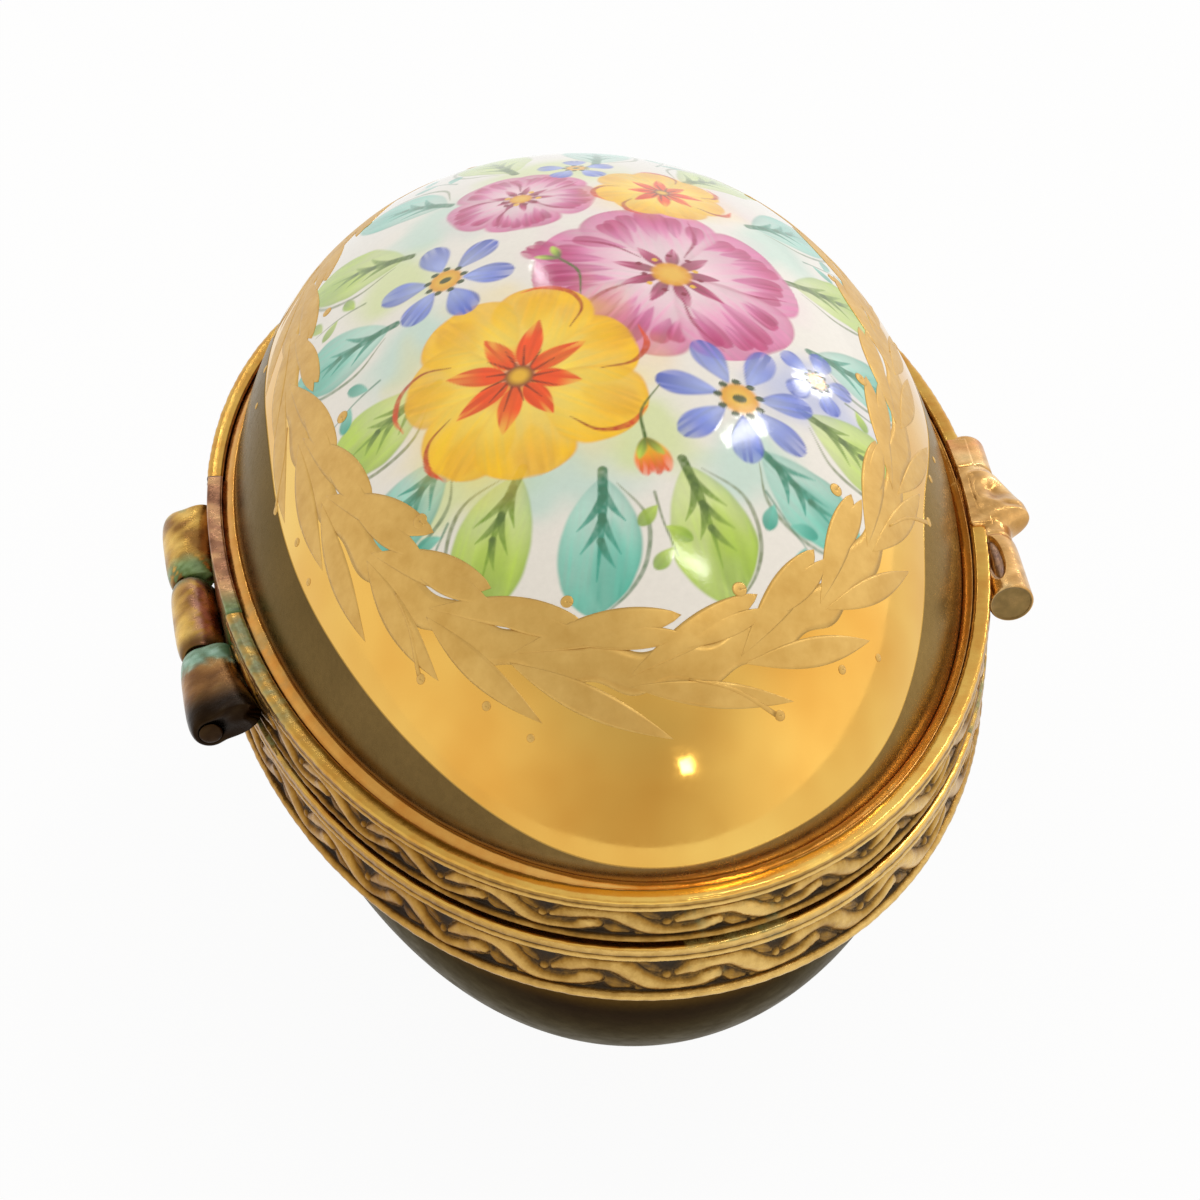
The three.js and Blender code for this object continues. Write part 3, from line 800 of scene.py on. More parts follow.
VINE_STRANDS = (
    # places along the strand, its radii, its height and the depth of its vein
    ([(2.7, 1.62), (3.5, 1.56), (4.4, 1.34), (5.0, 1.02)], [0.06, 0.17, 0.26, 0.08], 0.26, 0.05),
    ([(2.2, 0.62), (2.75, 0.36), (3.5, 0.2)], [0.1, 0.24, 0.08], 0.26, 0.03),
    ([(0.7, 0.84), (1.5, 0.98), (2.2, 0.92)], [0.05, 0.16, 0.05], 0.17, 0.0),
    ([(0.55, 0.2), (1.2, 0.34), (1.9, 0.7)], [0.06, 0.22, 0.06], 0.24, 0.03),
    ([(3.9, 0.12), (4.2, 0.1)], [0.12, 0.08], 0.2, 0.0),
    ([(0.1, 1.5), (0.7, 1.56), (1.2, 1.62)], [0.05, 0.12, 0.04], 0.2, 0.0),
    ([(5.22, 0.8), (5.28, 0.8)], [0.17, 0.17], 0.3, 0.0),
    (
        [(0.0, 0.92), (0.7, 1.2), (1.6, 1.42), (2.6, 1.38), (3.5, 1.04), (4.4, 0.54), (5.3, 0.28),
         (6.1, 0.3), (6.75, 0.46), (7.3, 0.78), (7.7, 0.72)],
        [0.13, 0.3, 0.27, 0.3, 0.42, 0.34, 0.2, 0.18, 0.22, 0.34, 0.2],
        0.44, 0.0,
    ),
)


def vine_tile():
    """A stem that leaves the top as a leaf, dives, runs along the foot and ends in a curled bud."""
    tile = np.zeros(TILE_STEPS)
    for points, radii, peak, vein in VINE_STRANDS:
        raise_strand(tile, points, radii, peak, vein)
    return tile / tile.max()


vine = vine_tile()


def vine_height(along, across):
    """The relief at places along and across the field, no two repeats quite alike."""
    along = along + 0.2 * np.sin(along * 0.31) + 0.08 * np.sin(along * 1.13 + 2)
    across = across + 0.05 * np.sin(along * 0.9) + 0.03 * np.sin(along * 2.3 + 1)
    column = (along / TILE_LENGTH % 1) * TILE_STEPS[1]
    row = np.clip(across / TILE_FIELD, 0, 0.999) * (TILE_STEPS[0] - 1)
    c0, r0 = column.astype(int) % TILE_STEPS[1], row.astype(int)
    c1, r1 = (c0 + 1) % TILE_STEPS[1], np.minimum(r0 + 1, TILE_STEPS[0] - 1)
    tc, tr = column - column.astype(int), row - r0
    low = vine[r0, c0] * (1 - tc) + vine[r0, c1] * tc
    high = vine[r1, c0] * (1 - tc) + vine[r1, c1] * tc
    strength = 0.92 + 0.08 * np.sin(along * 0.53 + 0.7)
    return (low * (1 - tr) + high * tr) * strength


BAND_COLUMNS = 2880
FIELD_ROWS = 42
LEAF_CLEARANCE = 0.08


def band(name, above, below, field_top, field_bottom, body, polished_rows):
    """A moulded band: sections above and below the vine field, each (offset, height, relief, groove)."""
    start = angle_at(LEAF_NEAR_Y - LEAF_CLEARANCE, -1)
    end = angle_at(LEAF_FAR_Y + LEAF_CLEARANCE, -1) + 2 * math.pi
    angles, lengths = even_angles(start, end, BAND_COLUMNS)
    repeats = round(lengths[-1] / TILE_LENGTH)
    along = lengths * repeats * TILE_LENGTH / lengths[-1]
    above, below = np.array(above, float), np.array(below, float)
    field = np.linspace(field_top, field_bottom, FIELD_ROWS)
    across = np.linspace(1, 0, FIELD_ROWS) * TILE_FIELD
    height = vine_height(along[None], across[:, None])
    fade = np.clip(np.minimum(np.arange(FIELD_ROWS), np.arange(FIELD_ROWS)[::-1]) / 1.5, 0, 1)[:, None]
    floor = BAND_OUTER - RELIEF_DEPTH - 0.02
    field_offset = floor + RELIEF_DEPTH * height * fade
    wobble = 0.012 * np.sin(lengths * 3.1) * np.sin(lengths * 0.37) + 0.008 * np.sin(lengths * 7.7)

    def moulding(section):
        offsets = section[:, :1] + wobble[None] * (section[:, 2:3] > 0.5)
        return on_rim(angles, np.minimum(offsets, BAND_OUTER - 0.004), section[:, 1])

    rows = np.concatenate([moulding(above), on_rim(angles, field_offset, field), moulding(below)])
    flat = np.ones(BAND_COLUMNS)
    relief = np.concatenate([above[:, 2:3] * flat, height * fade, below[:, 2:3] * flat])
    groove = np.concatenate([above[:, 3:4] * flat, 0 * height, below[:, 3:4] * flat])
    path = run(np.linalg.norm(np.diff(rows[:, 0], axis=0), axis=1))
    on_right = (rows[..., 0] > 0) * (rows[..., 2] < LID_BAND_TOP - 0.5)
    spots = 0.6 * (np.sin(lengths * 0.21 + 0.6) > 0.25) * on_right
    damp = np.clip(near_hinge(rows, 1.1) + spots, 0, 1)
    layers = {
        "relief": relief.ravel(),
        "groove": groove.ravel(),
        "along": np.repeat(lengths[None], len(rows), 0).ravel(),
        "across": np.repeat(path[:, None], BAND_COLUMNS, 1).ravel() * MARK_STRETCH,
        "verdigris": damp.ravel(),
        "age": aged(rows).ravel(),
        "warm": np.zeros(damp.size),
    }
    middle = BAND_COLUMNS // 2
    for part, columns in (("near", slice(0, middle + 1)), ("far", slice(middle, BAND_COLUMNS))):
        points = rows[:, columns].reshape(-1, 3)
        wide = len(points) // len(rows)
        part_layers = {
            key: values.reshape(len(rows), -1)[:, columns].ravel() for key, values in layers.items()
        }
        piece = add_piece(
            f"{name}_cast_{part}", placed(points), faces_out(points, grid_faces(len(rows), wide)), body,
            "gilded_brass", cast_brass, replaces=[name], layers=part_layers,
        )
        piece.data.materials.append(polished)
        face_rows = np.repeat(np.arange(len(rows) - 1), wide - 1)
        piece.data.polygons.foreach_set("material_index", (face_rows < polished_rows).astype(np.int32))


# The third value of each row is how proud it stands; on the cast brass rows it also sets their painted shade
# and highlight
LEDGE = [
    (COLLAR_OUTER + 0.01, 2.76, 0.2, 1.0),
    (0.38, 2.84, 0.5, 0.8),
    (0.44, 2.92, 0.8, 0.2),
    (0.56, 2.955, 1.0, 0.0),
    (0.74, 2.965, 1.0, 0.0),
    (0.92, 2.97, 1.0, 0.0),
    (1.06, 2.965, 1.0, 0.0),
    (1.17, 2.935, 1.0, 0.0),
    (1.24, 2.87, 1.0, 0.0),
    (1.265, 2.77, 0.75, 0.0),
    (1.265, 2.62, 0.6, 0.0),
    (1.25, 2.55, 0.35, 0.0),
    (1.26, 2.5, 0.7, 0.0),
    (1.295, 2.43, 1.0, 0.0),
    (1.295, 2.34, 1.0, 0.0),
    (1.24, 2.26, 0.8, 0.0),
    (1.02, 2.2, 0.3, 0.0),
]
LID_BAND_FOOT = [
    (0.98, 0.50, 0.3, 0.0),
    (1.1, 0.47, 0.5, 0.0),
    (1.17, 0.40, 0.6, 0.0),
    (1.17, 0.28, 0.6, 0.0),
    (1.1, 0.18, 0.45, 0.0),
    (0.9, SEAM, 0.2, 0.0),
    (BAND_INNER, SEAM, 0.1, 0.0),
]
BASE_BAND_HEAD = [
    (BAND_INNER, -SEAM, 0.1, 0.0),
    (1.0, -SEAM, 0.5, 0.0),
    (1.2, -0.17, 0.9, 0.0),
    (1.28, -0.23, 1.0, 0.0),
    (1.29, -0.4, 0.85, 0.0),
    (1.29, -0.58, 0.7, 0.0),
    (1.22, -0.66, 0.25, 0.0),
    (1.27, -0.73, 0.8, 0.0),
    (1.295, -0.82, 1.0, 0.0),
    (1.295, -0.92, 1.0, 0.0),
    (1.2, -1.0, 0.7, 0.0),
    (1.0, -1.05, 0.3, 0.0),
]
BASE_BAND_FOOT = [
    (0.98, -3.2, 0.3, 0.0),
    (1.12, -3.25, 0.7, 0.0),
    (1.22, -3.34, 0.9, 0.0),
    (1.25, -3.48, 0.9, 0.0),
    (1.2, -3.62, 0.8, 0.0),
    (1.08, -3.74, 0.7, 0.0),
    (0.85, -3.8, 0.5, 0.0),
    (COLLAR_OUTER + 0.01, -3.8, 0.3, 0.6),
]
band("lid_band", LEDGE, LID_BAND_FOOT, 2.18, 0.52, "lid", 9)
band("base_band", BASE_BAND_HEAD, BASE_BAND_FOOT, -1.07, -3.18, "base", 3)


# Hinge: two plain leaves let into the bands, three crowned knuckles and the pin

LEAF_SHADES = ((0.25, (128, 86, 62)), (0.5, (172, 122, 90)), (0.75, (206, 160, 112)))
GOLDEN_SHADES = ((0.2, (150, 106, 48)), (0.5, (204, 160, 76)), (0.8, (230, 190, 102)))
BROWN_SHADES = ((0.2, (112, 74, 40)), (0.5, (150, 106, 60)), (0.8, (186, 142, 84)))
GREEN_SHADES = ((0.25, (52, 78, 34)), (0.5, (98, 124, 58)), (0.8, (132, 160, 104)))
TURQUOISE_SHADES = ((0.25, (92, 128, 92)), (0.55, (124, 166, 140)), (0.8, (160, 196, 176)))
PINK_PAINTED_REFLECTION = linear(184, 132, 128)
BURNT = linear(84, 50, 34)
NEAR_END_PAINTED_SHADE = linear(20, 16, 13)
LEAF_COLUMNS = 120


def hinge_leaf(half, sign, band_top):
    far, near = angle_at(LEAF_FAR_Y, -1), angle_at(LEAF_NEAR_Y, -1)
    angles = np.linspace(far, near, LEAF_COLUMNS)
    corners = [
        (COLLAR_OUTER + 0.02, SEAM),
        (LEAF_OUTER, SEAM),
        (LEAF_OUTER, band_top),
        (0.46, band_top),
        (0.4, band_top - 0.06),
        (COLLAR_OUTER + 0.02, band_top - 0.06),
    ]
    section = soften(corners, 0.14, 4)
    rows = on_rim(angles, section[:, 0], sign * section[:, 1])
    points = rows.reshape(-1, 3)
    count = len(section)
    side = grid_faces(count, len(angles), wrap_rows=True)
    middle = len(points)
    caps = []
    ends = [rows[:, 0].mean(0), rows[:, -1].mean(0)]
    for end, column in ((0, 0), (1, len(angles) - 1)):
        for i in range(count):
            a, b = i * len(angles) + column, (i + 1) % count * len(angles) + column
            first, second = (b, a) if end else (a, b)
            caps.append((middle + end, first, second, second))
    points = np.vstack([points, ends])
    turned_out = faces_out(points, side)
    flipped = turned_out is not side
    cap_faces = [tuple(dict.fromkeys(face[::-1] if flipped else face)) for face in caps]
    faces = [tuple(face) for face in turned_out.tolist()] + cap_faces
    tint = shades(mottle(points * [1, 1, 0.3], 0.9), LEAF_SHADES)
    green = eased(-points[:, 1], 3.6, 6.4) * eased(mottle(points, 1.4), 0.35, 0.55)
    tint = blended(tint, shades(mottle(points, 1.9), GREEN_SHADES), green)
    add_piece(
        f"hinge_strip_{half}", placed(points), faces, half, "aged_brass", tinted_metal,
        replaces=[f"hinge_leaf_{half}"], layers={"tint": tint, "bare": 1 - 0.9 * green},
    )


hinge_leaf("lid", 1, LID_BAND_TOP)
hinge_leaf("base", -1, -BASE_BAND_BOTTOM)

hinge_joint = next(j for j in frame["joints"] if j["name"] == "lid_hinge")
hinge_place = (np.array(hinge_joint["pos_m"]) - EGG_ORIGIN) / MM
hinge_way = -np.array(hinge_joint["axis"])
KNUCKLE_LENGTH = (HINGE_LENGTH - 2 * KNUCKLE_GAP) / 3
KNUCKLE_SHOWN = KNUCKLE_RADIUS * 0.985
KNUCKLE_STEPS = 49
KNUCKLE_SIDES = 96
CROWN_POWER = 3.4
CROWN_ROUNDNESS = 0.45
PIN_SIDES = 40
MIDDLE_END = 0.84
OUTER_END = 0.78
NECK_TILT = 24.0
NECK_SPREAD = 0.62


def reach_to_band(point, offset):
    """How far a point beside the hinge lies outside a line drawn round the band."""
    angles = np.linspace(math.pi * 0.6, math.pi * 1.4, 2000)
    x, y = outline(angles, offset)
    return np.hypot(x - point[0], y - point[1]).min()


def knuckle_tints(place, rows, t, turn):
    """The aged colours of a knuckle, with a painted pink reflection on the middle one and painted shade at
    the near one's near end: t runs from its near end to its far end, turn is 0 towards the egg.
    """
    blotch, fine = mottle(rows, 0.8), mottle(rows, 2.1)
    green = shades(fine, GREEN_SHADES)
    if place == "far":
        tint = shades(blotch, GOLDEN_SHADES)
        damp = eased(-t, 0.35, 0.8) * eased(fine, 0.3, 0.5)
        damp = damp + 0.5 * eased(t, 0.7, 0.95) * eased(fine, 0.45, 0.6)
        tint = blended(tint, BURNT, 0.8 * eased(-t, 0.86, 1.0))
    elif place == "middle":
        tint = shades(blotch, GOLDEN_SHADES)
        # A painted pink reflection on the middle knuckle's upper side towards the egg, broken up by blotches
        tint = blended(tint, PINK_PAINTED_REFLECTION, 0.8 * bulge(turn, 1.1, 0.55) * eased(fine, 0.25, 0.55))
        tint = blended(tint, BURNT, 0.85 * eased(np.abs(t), 0.62, 0.95))
        damp = 0.5 * eased(t, 0.7, 0.95) * eased(fine, 0.4, 0.6)
    else:
        tint = shades(blotch, BROWN_SHADES)
        green = shades(fine, TURQUOISE_SHADES)
        damp = eased(t + 0.3 * (fine - 0.5), 0.3, 0.6)
        # Painted shade: the near knuckle turns nearly black towards its near end
        tint = blended(tint, NEAR_END_PAINTED_SHADE, 0.95 * eased(-t + 0.25 * (blotch - 0.5), 0.0, 0.75))
    damp = np.clip(damp, 0, 1)
    return blended(tint, green, damp), 1 - 0.9 * damp


def tint_layers(tint, bare=None):
    """The two layers of an aged piece: its tint, which on some pieces holds painted shade too, and how bare
    the metal is, all bare if not given.
    """
    bare = np.ones(tint.shape[:-1]) if bare is None else bare
    return {"tint": tint.reshape(-1, 4), "bare": bare.ravel()}


def knuckle(place, along_pin, body):
    """A pillow-shaped roll of brass with a neck that runs to the band it belongs to."""
    half = KNUCKLE_LENGTH / 2
    t = np.sin(np.linspace(-math.pi / 2, math.pi / 2, KNUCKLE_STEPS))
    end = MIDDLE_END if place == "middle" else OUTER_END
    radii = end + (KNUCKLE_SHOWN - end) * (1 - np.abs(t) ** CROWN_POWER) ** CROWN_ROUNDNESS
    t = np.concatenate([t[:1], t, t[-1:]])
    radii = np.concatenate([[KNUCKLE_BORE], radii, [KNUCKLE_BORE]])
    profile = np.column_stack([radii, half * t])
    centre = hinge_place + hinge_way * along_pin
    rows = turned(profile, centre, hinge_way, KNUCKLE_SIDES)
    inward = np.array([-hinge_way[1], hinge_way[0], 0.0])
    inward *= math.copysign(1.0, inward[0])
    cores = centre + hinge_way * profile[:, 1:]
    arms = rows - cores[:, None]
    turn = np.arctan2(arms[..., 2], arms @ inward)
    tilt = math.radians(NECK_TILT if body == "lid" else -NECK_TILT)
    neck = bulge(turn, tilt, NECK_SPREAD)
    for i in range(1, len(profile) - 1):
        gap = reach_to_band(cores[i], LEAF_OUTER) / math.cos(tilt) + 0.04 - radii[i]
        rows[i] = cores[i] + arms[i] * (1 + neck[i] * max(gap, 0) / radii[i])[:, None]
    tint, bare = knuckle_tints(place, rows, t[:, None] + 0 * turn, turn)
    name = f"hinge_knuckle_{place}"
    add_rows(
        f"{name}_crowned", rows, body, "aged_brass", tinted_metal, wrap_rows=True,
        replaces=[name], layers=tint_layers(tint, bare),
    )


def pin():
    half = HINGE_LENGTH / 2 + PIN_END_GAP * 0.2
    head = [
        (PIN_HEAD_SHOWN * math.sin(t), half + PIN_HEAD_THICKNESS * 0.4 * math.cos(t))
        for t in np.linspace(0, math.pi / 2, 9)
    ]
    far = head + [(PIN_RADIUS, half)]
    near = [(r, -reach) for r, reach in far[::-1]]
    rows = turned(far + near, hinge_place, hinge_way, PIN_SIDES)
    # Painted shade: the pin darkens towards its near end
    tint = blended(shades(mottle(rows, 1.5), BROWN_SHADES), NEAR_END_PAINTED_SHADE, 0.9 * eased(-rows[..., 1], 0, 8))
    add_rows(
        "hinge_pin_riveted", rows, "base", "aged_brass", tinted_metal, replaces=["hinge_pin"],
        layers=tint_layers(tint), weld=True,
    )


PITCH = KNUCKLE_LENGTH + KNUCKLE_GAP
knuckle("far", PITCH, "lid")
knuckle("middle", 0.0, "base")
knuckle("near", -PITCH, "lid")
pin()


# Clasp: a cast roll on the lid's band, with a thumb boss, lofted along its own axis

CLASP_COLUMNS = 144
CLASP_STATIONS = 240
CAP_ROWS = 8
CAP_EDGE_ROWS = 4
REAR_ROWS = 24
REAR_ROUNDING = 0.7
END_RADIUS = 1.2
WAIST = -1.9
WAIST_DEPTH = 0.12
BOSS_HEIGHT = 1.0
BOSS_TURN = 12
THUMB = -0.25
SEAM_LINE = 3.6
HOLLOW = 1.35
RECESS = -4.5
NOTCH_DEPTH = 0.13
SEAM_DEPTH = 0.11
FRONT_LINE_DEPTH = 0.05
RECESS_DEPTH = 0.24
TONGUE_HALF = 1.5
TONGUE_TURN = -66.5
TONGUE_REACH = 1.83
CAST_SHADES = ((0.2, (198, 150, 86)), (0.5, (226, 178, 112)), (0.8, (242, 204, 144)))
SALMON = linear(216, 138, 86)
# Painted shade colours: for the oblong recess, for the hollows and creases, and for the end cap and the
# underside
RECESS_PAINTED_SHADE = linear(132, 104, 96)
CREASE_PAINTED_SHADE = linear(150, 106, 48)
CLASP_END_PAINTED_SHADE = linear(128, 104, 62)

clasp_angle = angle_at(CLASP_Y, 1)
clasp_x, clasp_y = outline(clasp_angle, CLASP_SET_OFF)
clasp_turn = math.radians(CLASP_TURN)
clasp_axes = np.array([
    [math.cos(clasp_turn), math.sin(clasp_turn), 0],
    [-math.sin(clasp_turn), math.cos(clasp_turn), 0],
    [0, 0, 1],
])
clasp_zero = np.array([clasp_x, clasp_y, CLASP_HEIGHT])


def turn_from(turn, degrees):
    """An angle round the clasp measured from another, in degrees, where 0 is outward and 90 is up."""
    return (np.degrees(turn) - degrees + 180) % 360 - 180


def ledge_edge(y):
    """How far inward the clasp's foot may reach, so that it ends at the lip."""
    angles = np.linspace(clasp_angle - 0.4, clasp_angle + 0.4, 400)
    x0, y0 = outline(angles, COLLAR_OUTER + 0.05)
    local = (np.stack([x0, y0, 0 * x0], -1) - clasp_zero) @ clasp_axes.T
    return np.interp(y, local[:, 1], -local[:, 0])


def clasp_form(y, turn):
    """The distance of the clasp's face from its axis, with how much each feature shows there."""
    half = ROLL_LENGTH / 2
    radius = END_RADIUS - WAIST_DEPTH * bulge(y, WAIST, 0.8) + 0 * turn
    fuller = 0.2 * eased(y, WAIST + 0.5, THUMB - 0.2)
    radius = radius + fuller * (1 - eased(y, SEAM_LINE - 0.6, SEAM_LINE + 0.1))
    foot = np.clip(ledge_edge(y), 0, 2) / np.maximum(-np.cos(turn), 1e-3)
    foot = np.minimum(foot, 1.26 / np.maximum(np.sin(turn), 1e-3))
    foot = np.where((turn > math.pi / 2) & (turn < math.pi * 1.1), foot, 0)
    reach = eased(y, WAIST - 0.2, WAIST + 0.5) * (1 - eased(y, half - 0.9, half - 0.2))
    radius = np.maximum(radius, np.clip(foot, 0, 1.75) * reach)
    shoulder = np.where(y > THUMB, 1 - eased(y, THUMB, SEAM_LINE + 0.1), bulge(y, THUMB, 0.5))
    radius = radius + BOSS_HEIGHT * shoulder * bulge(turn_from(turn, BOSS_TURN), 0, 36)
    hollow = bulge(y, HOLLOW, 0.8) * bulge(turn_from(turn, 58), 0, 26)
    ring = np.hypot((y - HOLLOW) / 0.95, turn_from(turn, 62) / 38)
    radius = radius - 0.3 * hollow + 0.05 * bulge(ring, 1.25, 0.35)
    notch = bulge(y, THUMB + 0.35, 0.28) * bulge(turn_from(turn, 44), 0, 14)
    seam = bulge(y - SEAM_LINE - 0.35 * np.cos(turn - 1.2), 0, 0.09)
    front_line = bulge(y - WAIST + 0.5, 0, 0.13)
    recess = eased(1 - ((y - RECESS) / 1.95) ** 2 - (turn_from(turn, 116) / 27) ** 2, 0, 0.3)
    radius = radius - NOTCH_DEPTH * notch - SEAM_DEPTH * seam
    radius = radius - FRONT_LINE_DEPTH * front_line - RECESS_DEPTH * recess
    root = (1 - eased(np.abs(y), TONGUE_HALF - 0.2, TONGUE_HALF)) * TONGUE_REACH
    root = root * (1 - eased(np.abs(turn_from(turn, TONGUE_TURN)), 7, 10))
    radius = np.maximum(radius, root)
    rear = np.clip((y - half + REAR_ROUNDING) / REAR_ROUNDING, 0, 1)
    radius = radius * np.sqrt(np.clip(1 - rear ** 2.6, 0, 1))
    return radius, hollow + notch, seam, recess


def clasp():
    half = ROLL_LENGTH / 2
    stations = np.concatenate([
        np.full(CAP_ROWS, -half + 0.04),
        np.linspace(-half, -half + 0.1, CAP_EDGE_ROWS),
        np.linspace(-half + 0.12, half - 0.72, CLASP_STATIONS),
        half - REAR_ROUNDING + REAR_ROUNDING * np.sin(np.linspace(0.02, math.pi / 2, REAR_ROWS)),
    ])
    y = stations[:, None]
    turn = full_turn(CLASP_COLUMNS)[None]
    radius, hollow, seam, recess = clasp_form(y, turn)
    shrink = np.ones(len(stations))
    shrink[:CAP_ROWS] = np.linspace(0, 0.86, CAP_ROWS)
    shrink[CAP_ROWS:CAP_ROWS + CAP_EDGE_ROWS] = (0.9, 0.96, 0.985, 1.0)
    radius = radius * shrink[:, None]
    dome = np.zeros(len(stations))
    dome[:CAP_ROWS] = 0.05 * (shrink[:CAP_ROWS] ** 2)
    local = np.stack([radius * np.cos(turn), y + dome[:, None] + 0 * turn, radius * np.sin(turn)], -1)
    rows = local @ clasp_axes + clasp_zero
    blotch, fine = mottle(local, 0.7), mottle(local, 2.2)
    tint = shades(blotch, CAST_SHADES)
    tint = blended(tint, SALMON, 0.75 * eased(y, 4.4, 6.6) * eased(blotch, 0.25, 0.6) + 0 * turn)
    # Painted shade: brown in the thumb hollow, its notch and the seam line, mauve in the oblong recess, dark
    # brown on the end cap and along the underside
    tint = blended(tint, CREASE_PAINTED_SHADE, 0.7 * hollow + 0.65 * seam)
    tint = blended(tint, RECESS_PAINTED_SHADE, recess * (0.55 + 0.5 * fine))
    tint = blended(tint, CLASP_END_PAINTED_SHADE, (shrink < 0.95)[:, None] * (0.8 + 0.3 * fine))
    underside = eased(-np.sin(turn), 0.2, 0.9) * 0.45
    tint = blended(tint, CLASP_END_PAINTED_SHADE, underside + 0 * y)
    add_rows(
        "clasp_casting", rows, "lid", "gilded_brass", cast_clasp,
        replaces=["clasp_boss"], layers=tint_layers(tint), weld=True,
    )


clasp()


REMESH_STEP = 0.05
SMOOTHING_ROUNDS = 3


def refined(node, body, slot, material):
    """A piece from a node's own mesh, remeshed finely and smoothed."""
    work = in_scene("work", frame["nodes"][node].data.copy())
    remesh = work.modifiers.new("remesh", "REMESH")
    remesh.mode = "VOXEL"
    remesh.voxel_size = REMESH_STEP * MM
    smooth = work.modifiers.new("smooth", "SMOOTH")
    smooth.factor = 0.5
    smooth.iterations = SMOOTHING_ROUNDS
    shape = work.evaluated_get(bpy.context.evaluated_depsgraph_get()).to_mesh()
    points = np.array([v.co for v in shape.vertices])
    faces = [tuple(p.vertices) for p in shape.polygons]
    bpy.data.objects.remove(work)
    tint = shades(mottle((points - EGG_ORIGIN) / MM, 0.9), CAST_SHADES)
    layers = tint_layers(tint)
    add_piece(f"{node}_filed", points, faces, body, slot, material, replaces=[node], layers=layers)


refined("clasp_tongue", "lid", "aged_brass", tinted_metal)
refined("catch_nib", "base", "gilded_brass", cast_clasp)


# Stand: a seat ring shaped like the egg, six turned posts and a moulded foot ring

ground = 0.001 - (BASE_DEPTH + STAND_DROP)
seat_slope = math.acos(SEAT_SHARE)
seat_level = -BASE_DEPTH * math.sin(seat_slope) - SEAT_WIRE - SEAT_CLEARANCE
foot_top = ground + FOOT_THICKNESS
ROUND_STAND = 240
# How far the ends of a post run into the two rings, so that no gap shows
POST_SUNK = 0.25
POST_NECK = POST_RADIUS * 0.82
POST_RING = 0.12
POST_SIDES = 36
POST_STEPS = 45
WIRE_SIDES = 24
WIRE_SHARE = 0.965
WIRE_RIDGE = 0.03
WIRE_TURNS = 40


def on_seat(angles, offsets, heights):
    x0, y0 = outline(angles)
    x1, y1 = outline(angles, 1.0)
    x = SEAT_SHARE * x0 + offsets * (x1 - x0)
    y = SEAT_SHARE * y0 + offsets * (y1 - y0)
    return raised(x, y, heights)


def on_foot(angles, offsets, heights):
    middle = FOOT_WIDTH / 2
    x = (FOOT_HALF_WIDTH - middle + offsets) * np.cos(angles)
    y = FOOT_SHIFT + (FOOT_HALF_LENGTH - middle + offsets) * np.sin(angles)
    return raised(x, y, heights)


def add_stand_piece(name, rows, node, **more):
    add_rows(name, rows, "stand", "stand_brass", stand_brass, replaces=[node], **more)


def seat_ring():
    """A wire with a slight twist, as drawn through a worn plate."""
    angles = full_turn(ROUND_STAND)[None]
    turn = full_turn(WIRE_SIDES)[:, None]
    radius = SEAT_WIRE * (WIRE_SHARE + WIRE_RIDGE * np.cos(turn * 3 + angles * WIRE_TURNS))
    rows = on_seat(angles, radius * np.cos(turn), seat_level + radius * np.sin(turn))
    add_stand_piece("seat_wire", rows, "stand_seat_ring", wrap_rows=True)


def foot_ring():
    half = FOOT_WIDTH / 2
    corners = [
        (-half, ground),
        (half, ground),
        (half, ground + 0.42),
        (half - 0.18, ground + 0.5),
        (half - 0.12, foot_top - 0.2),
        (half - 0.4, foot_top),
        (-half + 0.4, foot_top),
        (-half + 0.12, foot_top - 0.2),
        (-half + 0.18, ground + 0.5),
        (-half, ground + 0.42),
    ]
    section = soften(corners, 0.12, 4)
    angles = full_turn(ROUND_STAND)[None]
    rows = on_foot(angles, section[:, :1], section[:, 1:])
    add_stand_piece("foot_moulding", rows, "stand_foot_ring", wrap_rows=True)


def post(index):
    angle = np.array([2 * math.pi * (index + 0.5) / POST_COUNT])
    low = on_foot(angle, 0, foot_top - POST_SUNK)[0]
    high = on_seat(angle, 0, seat_level - SEAT_WIRE + POST_SUNK)[0]
    length = np.linalg.norm(high - low)
    profile = [(0, 0)]
    for t in np.linspace(0.01, 0.99, POST_STEPS):
        ball = bulge(t, 0.5, 0.2)
        rings = bulge(t, 0.2, 0.035) + bulge(t, 0.8, 0.035)
        end = min(1.0, math.sqrt(min(t, 1 - t) * 14))
        radius = (POST_NECK + (POST_BALL_RADIUS - POST_NECK) * ball + POST_RING * rings) * end
        profile.append((radius, length * t))
    profile.append((0, length))
    rows = turned(profile, low, high - low, POST_SIDES)
    add_stand_piece(f"turned_post_{index + 1}", rows, f"stand_post_{index + 1}", weld=True)


seat_ring()
foot_ring()
for index in range(POST_COUNT):
    post(index)

plaster = plaster_look()
for node in ("lid_cement", "base_cement"):
    frame["nodes"][node].data.materials.clear()
    frame["nodes"][node].data.materials.append(plaster)


# Painting: a fine skin over the glaze, whose points take colour from the brush, stroke by stroke

PAINT_STEP = 0.09
SKIN_FOOT = 33.5
SKIN_PARTS = ("front", "middle", "back")
SKIN_LIFT = 0.003
PAINT_BODY = 0.005
NORMAL_STEP = 0.02
TINY = 1e-9
BRUSH_SEED = 7

random = np.random.default_rng(BRUSH_SEED)


def outline_share(x, y):
    """The scale at which the egg's outline passes through each point."""
    k = np.hypot(x / HALF_WIDTH, y / HALF_LENGTH) + TINY
    for _ in range(12):
        s = y / (HALF_LENGTH * k)
        wide = HALF_WIDTH * (1 + FAR_END_SWELL * s + END_FULLNESS * s * s)
        k = np.hypot(x / wide, y / HALF_LENGTH) + TINY
    return k


def level(points):
    """Below zero inside the lid's outer face, above zero outside it."""
    return np.hypot(outline_share(points[..., 0], points[..., 1]), points[..., 2] / LID_RISE) - 1


